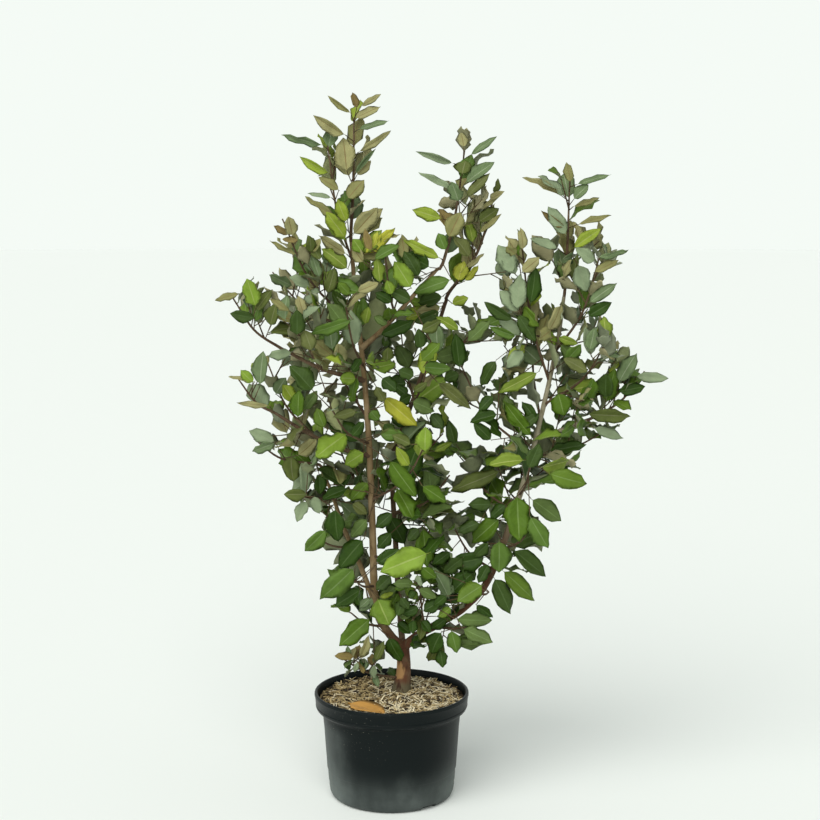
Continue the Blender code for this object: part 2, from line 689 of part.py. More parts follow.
def twig_solid(start, end):
    return prism_corners(start, end, TWIG_RADIUS, TWIG_TIP_RADIUS), PRISM_FACES


def leaf_solid(leaf):
    frame, length, width = leaf
    return [frame @ Vector(c) for c in leaf_corners(length, width)], LEAF_FACES


def solid_mesh(name, corners, faces):
    """A small closed solid, with its faces turned outwards."""
    mesh = bpy.data.meshes.new(name)
    mesh.from_pydata(corners, [], faces)
    tidy = bmesh.new()
    tidy.from_mesh(mesh)
    bmesh.ops.recalc_face_normals(tidy, faces=tidy.faces)
    tidy.to_mesh(mesh)
    tidy.free()
    return mesh


def build_stem(name, limbs, collection, section):
    """A mass's stem, from its limb's tip or from the limb's side at a height, and its clear path."""
    paths, radii, seats = limbs
    limb, height, _leaf, end = MASSES[name]
    path, radius = paths[limb], radii[limb]
    along = path.distance_at_height(height) if height else path.length
    start, way = path.at(along)
    reach = Vector(end) - start
    bow = start + Vector((reach.x * BOW_OUT, reach.y * BOW_OUT, reach.z * BOW_UP))
    if not height:
        whole = Path([start, start + way * STEM_LEAD, bow, end], FINE_STEP)
        stem, thick = leave_tip(path, whole, radius(path.length))
        solid = tube(name, stem, taper(thick, STEM_TIP_RADIUS, stem.length), collection, profile=section)
        return solid, stem
    thick = min(STEM_RADIUS, STEM_SHARE * radius(along))
    whole = Path([start, bow, end], FINE_STEP)
    rooted = whole.from_distance(0.0, STEM_STEP)
    stem = tube(name, rooted, taper(thick, STEM_TIP_RADIUS, rooted.length), collection, profile=section)
    boolean(stem, "DIFFERENCE", "MANIFOLD", operand=seats[limb])
    return stem, leave_side(path, along, whole, thick, radius(along))


def triangle_profile(cutters):
    """A three-sided section, one metre in radius, that twigs are drawn with."""
    curve = bpy.data.curves.new("twig_section", "CURVE")
    curve.dimensions = "2D"
    spline = curve.splines.new("POLY")
    spline.points.add(2)
    for k, point in enumerate(spline.points):
        turn = 2 * math.pi * k / 3
        point.co = (math.cos(turn), math.sin(turn), 0, 1)
    spline.use_cyclic_u = True
    section = bpy.data.objects.new("twig_section", curve)
    cutters.objects.link(section)
    as_guide(section)
    return section


def leaf_finish(place, finishes):
    """Silvery leaves crown the right side, khaki ones the top, and the rest are green."""
    if place.x > 0.15 and place.z > 0.60:
        return finishes["silver"]
    return finishes["khaki"] if place.z > 0.72 else finishes["green"]


def corners_and_faces(mesh):
    return [vertex.co.copy() for vertex in mesh.vertices], [tuple(face.vertices) for face in mesh.polygons]


def build_masses(collection, cutters, limbs, paths, radii, seats):
    section = triangle_profile(cutters)
    finishes = {"green": material("Green leaf", GREEN_LEAF), "khaki": material("Khaki leaf", KHAKI_LEAF),
                "silver": material("Silvery leaf", SILVER_LEAF)}
    crown = Crown(paths)
    for name, limb in limbs.items():
        crown.add(name, *corners_and_faces(limb.data))
    stems = {}
    for name in MASSES:
        stem, path = build_stem(name, (paths, radii, seats), collection, section)
        stem.data.materials.append(leaf_finish(path.points[-1], finishes))
        stems[name] = stem
        crown.spaces[name] = path
        crown.add(name + "_stem", *corners_and_faces(stem.data))
    total = 0
    for seed, (name, (_limb, _height, leaf_length, _end)) in enumerate(MASSES.items(), start=1):
        growth = Growth(crown, name, leaf_length, seed)
        growth.grow(crown.spaces[name])
        total += len(growth.leaves)
        pieces = new_collection("growth")
        for leaf in growth.leaves:
            place_mesh("leaf", solid_mesh("leaf", *leaf_solid(leaf)), pieces)
        for twig in growth.twigs:
            place_mesh("twig", solid_mesh("twig", *twig_solid(*twig)), pieces)
        boolean(stems[name], "UNION", "MANIFOLD", group=pieces)
        for thing in list(pieces.objects):
            bpy.data.objects.remove(thing)
        bpy.data.collections.remove(pieces)
        print(name, len(growth.leaves), "leaves,", len(growth.twigs), "twigs")
    print("leaves in all:", total)


def shade_round(thing):
    """Keeps a round piece's finished mesh, shaded smooth but for its sharp edges."""
    finished = thing.evaluated_get(bpy.context.evaluated_depsgraph_get())
    mesh = bpy.data.meshes.new_from_object(finished)
    thing.modifiers.clear()
    thing.data = mesh
    mesh.shade_smooth()
    mesh.set_sharp_from_angle(angle=SHARP_ANGLE)


def main():
    clear_scene()
    plant = new_collection("potted_silverberry")
    cutters = new_collection("cutters")
    bark = material("Bark", BARK)
    pot, inner = build_pot(plant, cutters)
    soil = build_soil(inner, plant)
    limbs, paths, radii, seats = build_limbs(plant, cutters, bark)
    build_masses(plant, cutters, limbs, paths, radii, seats)
    for thing in (pot, soil, *limbs.values()):
        shade_round(thing)


main()
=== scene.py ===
# A potted ebbinge silverberry, about a metre tall, in a round nursery pot on a pale floor.
# Metres, +Z up, the middle of the pot's underside at the origin. The limbs and the growth rule are
# those of the solids. The leaves here are life size and hang on finer twigs.

import json
import math
import random

import bmesh
import bpy
import numpy as np
from mathutils import Matrix, Vector
from mathutils.bvhtree import BVHTree

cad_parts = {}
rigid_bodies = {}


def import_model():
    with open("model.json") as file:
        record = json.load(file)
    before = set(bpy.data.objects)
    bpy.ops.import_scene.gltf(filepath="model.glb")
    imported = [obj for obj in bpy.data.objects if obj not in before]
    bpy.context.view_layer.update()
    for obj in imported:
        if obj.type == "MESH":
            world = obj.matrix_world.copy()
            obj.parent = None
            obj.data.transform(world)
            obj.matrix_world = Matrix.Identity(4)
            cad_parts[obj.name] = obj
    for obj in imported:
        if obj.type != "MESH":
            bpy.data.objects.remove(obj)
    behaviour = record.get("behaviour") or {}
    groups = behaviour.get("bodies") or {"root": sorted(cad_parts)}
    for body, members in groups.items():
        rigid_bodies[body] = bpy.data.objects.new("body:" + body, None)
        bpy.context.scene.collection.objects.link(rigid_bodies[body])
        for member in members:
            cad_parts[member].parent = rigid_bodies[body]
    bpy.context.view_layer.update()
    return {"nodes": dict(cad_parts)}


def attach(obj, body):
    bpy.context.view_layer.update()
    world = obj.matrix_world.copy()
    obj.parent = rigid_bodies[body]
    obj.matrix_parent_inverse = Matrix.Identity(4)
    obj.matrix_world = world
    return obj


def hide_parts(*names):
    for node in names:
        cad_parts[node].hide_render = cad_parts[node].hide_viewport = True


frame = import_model()
print("frame loaded,", len(frame["nodes"]), "nodes")

# The camera, worked out from the pot's rim and foot in the photo

photoSide = 820
photoMiddle = photoSide / 2
focalPixels = 1550.0
sensorWidth = 36.0
cameraSpot = Vector((0.026, -2.13, 0.812))
cameraDip = math.radians(7.04)
lookAhead = Vector((0, math.cos(cameraDip), -math.sin(cameraDip)))
lookUp = Vector((0, math.sin(cameraDip), math.cos(cameraDip)))


def atPixel(u, v, depth):
    # the point seen at a pixel of the photo, at a depth along Y
    ray = lookAhead + Vector((1, 0, 0)) * (u - photoMiddle) / focalPixels
    ray += lookUp * (photoMiddle - v) / focalPixels
    return cameraSpot + ray * ((depth - cameraSpot.y) / ray.y)


def toPixel(place):
    away = place - cameraSpot
    far = away.dot(lookAhead)
    return photoMiddle + focalPixels * away.x / far, photoMiddle - focalPixels * away.dot(lookUp) / far


# Nodes, meshes and objects


class Wire:
    # the output of a node, which adds maths nodes when it is used in a sum
    def __init__(self, graph, socket):
        self.graph = graph
        self.socket = socket

    def maths(self, operation, *others):
        made = self.graph.node("ShaderNodeMath", operation=operation)
        for socket, value in zip(made.inputs, (self, *others)):
            self.graph.feed(socket, value)
        return Wire(self.graph, made.outputs[0])

    def __add__(self, other):
        return self.maths("ADD", other)

    def __sub__(self, other):
        return self.maths("SUBTRACT", other)

    def __mul__(self, other):
        return self.maths("MULTIPLY", other)

    def __truediv__(self, other):
        return self.maths("DIVIDE", other)

    def __neg__(self):
        return self.maths("MULTIPLY", -1.0)

    def __rsub__(self, other):
        return -self + other

    __radd__ = __add__
    __rmul__ = __mul__

    def eased(self, start, end):
        # 0 below start, 1 past end, with a smooth way between
        made = self.graph.node("ShaderNodeMapRange", {
            "Value": self, "From Min": start, "From Max": end}, interpolation_type="SMOOTHSTEP")
        return Wire(self.graph, made.outputs["Result"])


class Graph:
    def __init__(self, tree):
        self.tree = tree

    def node(self, kind, values=None, **settings):
        made = self.tree.nodes.new(kind)
        for name, value in settings.items():
            setattr(made, name, value)
        for name, value in (values or {}).items():
            self.feed(made.inputs[name], value)
        return made

    def feed(self, socket, value):
        if isinstance(value, Wire):
            self.tree.links.new(value.socket, socket)
        elif isinstance(value, bpy.types.NodeSocket):
            self.tree.links.new(value, socket)
        else:
            socket.default_value = value

    def wire(self, socket):
        return Wire(self, socket)

    def place(self, kind="Object"):
        return self.node("ShaderNodeTexCoord").outputs[kind]

    def stretched(self, place, stretch):
        made = self.node("ShaderNodeVectorMath", operation="MULTIPLY")
        self.feed(made.inputs[0], place)
        self.feed(made.inputs[1], stretch)
        return made.outputs[0]

    def noise(self, place, scale, detail, roughness=0.55):
        made = self.node("ShaderNodeTexNoise", {
            "Vector": place, "Scale": scale, "Detail": detail, "Roughness": roughness})
        return self.wire(made.outputs[0])

    def axes(self, place):
        made = self.node("ShaderNodeSeparateXYZ")
        self.feed(made.inputs[0], place)
        return [self.wire(output) for output in made.outputs]

    def blend(self, share, first, second):
        made = self.node("ShaderNodeMix", data_type="RGBA")
        for k, value in ((0, share), (6, first), (7, second)):  # the node's sockets for colours
            self.feed(made.inputs[k], value)
        return made.outputs[2]

    def stored(self, label, kind):
        # a value that the points or faces carry
        made = self.node("GeometryNodeInputNamedAttribute", {"Name": label}, data_type=kind)
        return made.outputs[0]

    def surface(self, shader, colour, height, depth, strength):
        raised = self.node("ShaderNodeBump", {"Height": height, "Distance": depth, "Strength": strength})
        self.feed(shader.inputs["Base Color"], colour)
        self.feed(shader.inputs["Normal"], raised.outputs[0])


def rgb(colour):
    return (*colour, 1.0)


def startMaterial(name, roughness, specular):
    made = bpy.data.materials.new(name)
    made.use_nodes = True
    graph = Graph(made.node_tree)
    shader = made.node_tree.nodes["Principled BSDF"]
    shader.inputs["Roughness"].default_value = roughness
    shader.inputs["Specular IOR Level"].default_value = specular
    return made, graph, shader


def startTree(name, inputs):
    # a Geometry Nodes tree with its named inputs
    tree = bpy.data.node_groups.new(name, "GeometryNodeTree")
    tree.interface.new_socket("Geometry", in_out="OUTPUT", socket_type="NodeSocketGeometry")
    for label, kind in {"Geometry": "Geometry", **inputs}.items():
        tree.interface.new_socket(label, in_out="INPUT", socket_type="NodeSocket" + kind)
    graph = Graph(tree)
    return tree, graph, graph.node("NodeGroupInput").outputs


def builtMesh(thing):
    # the mesh that an object's modifiers make; the modifiers go
    evaluated = bpy.context.evaluated_depsgraph_get()
    mesh = bpy.data.meshes.new_from_object(thing.evaluated_get(evaluated), depsgraph=evaluated)
    thing.modifiers.clear()
    return mesh


def bake(thing, tree, values):
    # runs a Geometry Nodes tree on an object and keeps the mesh that it makes
    step = thing.modifiers.new("Build", "NODES")
    step.node_group = tree
    for socket in tree.interface.items_tree:
        if socket.in_out == "INPUT" and socket.name in values:
            step[socket.identifier] = values[socket.name]
    old = thing.data
    thing.data = builtMesh(thing)
    bpy.data.meshes.remove(old)
    thing.data.name = thing.name
    return thing


def show(name, data):
    thing = bpy.data.objects.new(name, data)
    bpy.context.scene.collection.objects.link(thing)
    return thing


def newMesh(name, corners, faces=(), edges=()):
    mesh = bpy.data.meshes.new(name)
    mesh.from_pydata(corners, edges, faces)
    return mesh


def mark(mesh, label, kind, values, domain="POINT"):
    # gives each point or face a value to carry
    field = "vector" if kind == "FLOAT_VECTOR" else "value"
    mesh.attributes.new(label, kind, domain).data.foreach_set(field, values)


def ringOf(radius, count, z):
    # the corners of a level circle about Z
    turns = [2 * math.pi * k / count for k in range(count)]
    return [(radius * math.cos(turn), radius * math.sin(turn), z) for turn in turns]


def bridged(rings, sides):
    # the faces between rings of corners that follow one another
    faces = []
    for k in range(rings - 1):
        for s in range(sides):
            a, b = k * sides + s, k * sides + (s + 1) % sides
            faces.append((a, b, b + sides, a + sides))
    return faces


# The limbs, with the routes and radii of the solids

trunkShape = {"route": [(0.012, 0.020, 0.128), (0.017, 0.021, 0.172), (0.016, 0.024, 0.204)],
              "radii": (0.0106, 0.0092), "length": 0.076, "flare": 0.0120, "flareHeight": 0.014}

limbShapes = {
    "left_leader": {"from": ("trunk", 0.204), "radii": (0.0060, 0.0026), "route": [
        (-0.004, 0.016, 0.228), (-0.022, 0.004, 0.270), (-0.026, -0.012, 0.380), (-0.030, -0.020, 0.500),
        (-0.037, -0.018, 0.600), (-0.048, -0.008, 0.700), (-0.054, -0.004, 0.780)]},
    "middle_stem": {"from": ("trunk", 0.204), "radii": (0.0044, 0.0026), "route": [
        (0.012, 0.038, 0.246), (0.006, 0.050, 0.340), (0.001, 0.052, 0.469), (0.018, 0.050, 0.522),
        (0.042, 0.044, 0.592), (0.077, 0.035, 0.700)]},
    "right_stem": {"from": ("trunk", 0.204), "radii": (0.0060, 0.0024), "route": [
        (0.036, 0.020, 0.223), (0.072, 0.012, 0.246), (0.106, 0.008, 0.270), (0.140, 0.004, 0.316),
        (0.181, 0.000, 0.436), (0.208, 0.002, 0.541), (0.230, 0.006, 0.645), (0.238, 0.008, 0.705)]},
    "low_left_bough": {"from": ("left_leader", 0.272), "radii": (0.0040, 0.0022), "route": [
        (-0.044, 0.000, 0.330), (-0.065, -0.002, 0.380), (-0.084, -0.003, 0.436), (-0.096, -0.004, 0.464)]},
    "lower_left_bough": {"from": ("left_leader", 0.488), "radii": (0.0034, 0.0021), "route": [
        (-0.065, -0.028, 0.498), (-0.111, -0.034, 0.520), (-0.150, -0.040, 0.545)]},
    "mid_left_bough": {"from": ("left_leader", 0.592), "radii": (0.0034, 0.0021), "route": [
        (-0.084, -0.034, 0.606), (-0.110, -0.044, 0.618), (-0.142, -0.050, 0.636)]},
    "second_peak_bough": {"from": ("left_leader", 0.636), "radii": (0.0036, 0.0024), "route": [
        (-0.009, -0.016, 0.664), (0.029, -0.012, 0.706), (0.064, -0.006, 0.744)]},
    "far_right_bough": {"from": ("right_stem", 0.512), "radii": (0.0032, 0.0021), "route": [
        (0.234, -0.004, 0.521), (0.270, -0.008, 0.536)]},
}

# Each mass has the limb that carries it, the height on the limb, or None for its tip, the length of
# its leaves and the place of its stem's tip.

masses = {
    "top_foliage": ("left_leader", None, 0.064, (-0.050, 0.000, 0.934)),
    "top_left_foliage": ("left_leader", 0.752, 0.057, (-0.083, -0.020, 0.898)),
    "upper_left_foliage": ("left_leader", 0.664, 0.054, (-0.140, -0.046, 0.802)),
    "upper_side_foliage": ("left_leader", 0.655, 0.057, (-0.158, 0.034, 0.730)),
    "mid_left_foliage": ("mid_left_bough", None, 0.052, (-0.203, -0.070, 0.698)),
    "mid_front_foliage": ("mid_left_bough", 0.610, 0.057, (-0.112, -0.122, 0.674)),
    "lower_left_foliage": ("lower_left_bough", None, 0.057, (-0.198, -0.054, 0.588)),
    "lower_rise_foliage": ("lower_left_bough", 0.516, 0.062, (-0.166, 0.012, 0.600)),
    "low_left_foliage": ("low_left_bough", None, 0.059, (-0.180, -0.014, 0.504)),
    "low_side_foliage": ("low_left_bough", 0.425, 0.054, (-0.128, -0.051, 0.440)),
    "low_drop_foliage": ("low_left_bough", 0.355, 0.058, (-0.092, -0.042, 0.372)),
    "low_foot_foliage": ("low_left_bough", 0.306, 0.060, (-0.074, -0.024, 0.314)),
    "low_back_foliage": ("low_left_bough", 0.350, 0.064, (-0.082, 0.081, 0.404)),
    "foot_left_foliage": ("left_leader", 0.300, 0.060, (-0.046, -0.066, 0.322)),
    "fork_foliage": ("left_leader", 0.238, 0.059, (-0.050, -0.028, 0.264)),
    "base_shoot": ("trunk", 0.160, 0.036, (-0.060, -0.014, 0.194)),
    "centre_front_foliage": ("left_leader", 0.425, 0.059, (0.042, -0.104, 0.508)),
    "left_front_foliage": ("left_leader", 0.505, 0.057, (-0.072, -0.120, 0.558)),
    "upper_front_foliage": ("left_leader", 0.612, 0.062, (-0.056, -0.107, 0.688)),
    "upper_back_foliage": ("left_leader", 0.628, 0.064, (-0.020, 0.099, 0.706)),
    "left_back_foliage": ("left_leader", 0.540, 0.064, (-0.092, 0.135, 0.642)),
    "left_low_back_foliage": ("left_leader", 0.420, 0.064, (-0.086, 0.127, 0.508)),
    "left_inner_foliage": ("second_peak_bough", 0.680, 0.059, (-0.006, -0.057, 0.756)),
    "second_peak_foliage": ("second_peak_bough", None, 0.059, (0.099, 0.000, 0.896)),
    "middle_top_foliage": ("middle_stem", None, 0.055, (0.142, 0.020, 0.846)),
    "middle_right_foliage": ("middle_stem", 0.610, 0.057, (0.106, 0.010, 0.650)),
    "middle_front_foliage": ("middle_stem", 0.545, 0.064, (0.052, -0.088, 0.642)),
    "middle_back_foliage": ("middle_stem", 0.560, 0.064, (0.014, 0.156, 0.636)),
    "middle_inner_foliage": ("middle_stem", 0.462, 0.062, (0.064, 0.014, 0.506)),
    "low_middle_foliage": ("middle_stem", 0.360, 0.068, (0.022, 0.164, 0.432)),
    "centre_low_foliage": ("left_leader", 0.345, 0.064, (0.024, -0.078, 0.350)),
    "centre_rise_foliage": ("middle_stem", 0.392, 0.062, (0.074, -0.046, 0.458)),
    "centre_inner_foliage": ("middle_stem", 0.300, 0.064, (0.060, -0.004, 0.404)),
    "centre_foot_foliage": ("right_stem", 0.232, 0.044, (0.040, -0.039, 0.304)),
    "right_top_foliage": ("right_stem", None, 0.055, (0.244, 0.008, 0.862)),
    "right_inner_foliage": ("right_stem", 0.588, 0.056, (0.178, -0.024, 0.770)),
    "right_outer_foliage": ("right_stem", 0.630, 0.050, (0.280, -0.018, 0.750)),
    "right_mid_foliage": ("right_stem", 0.556, 0.055, (0.286, -0.048, 0.640)),
    "far_right_foliage": ("far_right_bough", None, 0.059, (0.342, -0.004, 0.594)),
    "right_low_foliage": ("right_stem", 0.480, 0.059, (0.296, 0.048, 0.510)),
    "right_left_foliage": ("right_stem", 0.488, 0.052, (0.100, 0.014, 0.604)),
    "right_inside_foliage": ("right_stem", 0.405, 0.059, (0.110, 0.020, 0.468)),
    "right_front_foliage": ("right_stem", 0.430, 0.064, (0.186, -0.096, 0.492)),
    "right_back_foliage": ("right_stem", 0.535, 0.062, (0.202, 0.135, 0.654)),
    "right_rear_foliage": ("right_stem", 0.390, 0.064, (0.192, 0.112, 0.464)),
    "right_drop_foliage": ("right_stem", 0.352, 0.060, (0.188, -0.060, 0.394)),
    "right_foot_foliage": ("right_stem", 0.290, 0.058, (0.132, -0.057, 0.304)),
    "right_hollow_foliage": ("right_stem", 0.322, 0.064, (0.092, 0.000, 0.376)),
    "foot_right_foliage": ("right_stem", 0.238, 0.054, (0.104, -0.046, 0.254)),
}

bowOut = 0.66  # where a stem bows: shares of its way out and of its way up
bowUp = 0.46
stemLead = 0.010
stemRadius = 0.0020
stemShare = 0.7  # of its limb's radius, at most
stemTipRadius = 0.0010
stemReach = 0.20  # how far the tip goes on, in leaf lengths
trunkStep = 0.004  # the steps of the routes
limbStep = 0.008
stemStep = 0.006


class Path:
    # a smooth route through points, read by its length
    def __init__(self, points, step):
        corners = [Vector(p) for p in points]
        ends = [2 * corners[0] - corners[1], *corners, 2 * corners[-1] - corners[-2]]
        self.points = [corners[0]]
        for before, start, end, after in zip(ends, ends[1:], ends[2:], ends[3:]):
            parts = max(1, round((end - start).length / step))
            for k in range(1, parts + 1):
                t = k / parts
                bend = (2 * before - 5 * start + 4 * end - after) * t * t
                twist = (3 * start - before - 3 * end + after) * t ** 3
                self.points.append((2 * start + (end - before) * t + bend + twist) / 2)
        self.lengths = [0.0]
        for a, b in zip(self.points, self.points[1:]):
            self.lengths.append(self.lengths[-1] + (b - a).length)
        self.length = self.lengths[-1]

    def at(self, distance):
        last = len(self.points) - 2
        k = next((i for i in range(last) if self.lengths[i + 1] > distance), last)
        step = self.points[k + 1] - self.points[k]
        return self.points[k] + step * (distance - self.lengths[k]) / step.length, step.normalized()

    def distanceAtHeight(self, height):
        for k, (a, b) in enumerate(zip(self.points, self.points[1:])):
            if a.z <= height <= b.z:
                return self.lengths[k] + (b - a).length * (height - a.z) / (b.z - a.z)
        return self.length


def taper(start, end, length):
    return lambda along: start + (end - start) * along / length


def trunkRadius(along):
    start, end = trunkShape["radii"]
    flare = trunkShape["flare"] * math.exp(-along / trunkShape["flareHeight"])
    return start + (end - start) * along / trunkShape["length"] + flare


limbPaths = {"trunk": Path(trunkShape["route"], trunkStep)}
limbRadii = {"trunk": trunkRadius}
for name, limb in limbShapes.items():
    parent, height = limb["from"]
    start = limbPaths[parent].at(limbPaths[parent].distanceAtHeight(height))[0]
    limbPaths[name] = Path([start, *limb["route"]], limbStep)
    limbRadii[name] = taper(*limb["radii"], limbPaths[name].length)

stems = {}  # the path and the base radius of each mass's stem
for name, (limb, height, leafLength, end) in masses.items():
    path = limbPaths[limb]
    along = path.distanceAtHeight(height) if height else path.length
    start, way = path.at(along)
    reach = Vector(end) - start
    bow = start + Vector((reach.x * bowOut, reach.y * bowOut, reach.z * bowUp))
    tip = Vector(end) + (Vector(end) - bow).normalized() * leafLength * stemReach
    if height:
        route, thick = [start, bow, tip], min(stemRadius, stemShare * limbRadii[limb](along))
    else:
        route, thick = [start, start + way * stemLead, bow, tip], limbRadii[limb](path.length)
    stems[name] = Path(route, stemStep), thick
print("limbs and stems routed")

# Leaves that stand out in the photo: the pixels of the base and the tip, the width in pixels and the
# kind, which a name doesn't always tell. A name also seeds its leaf's small turns.

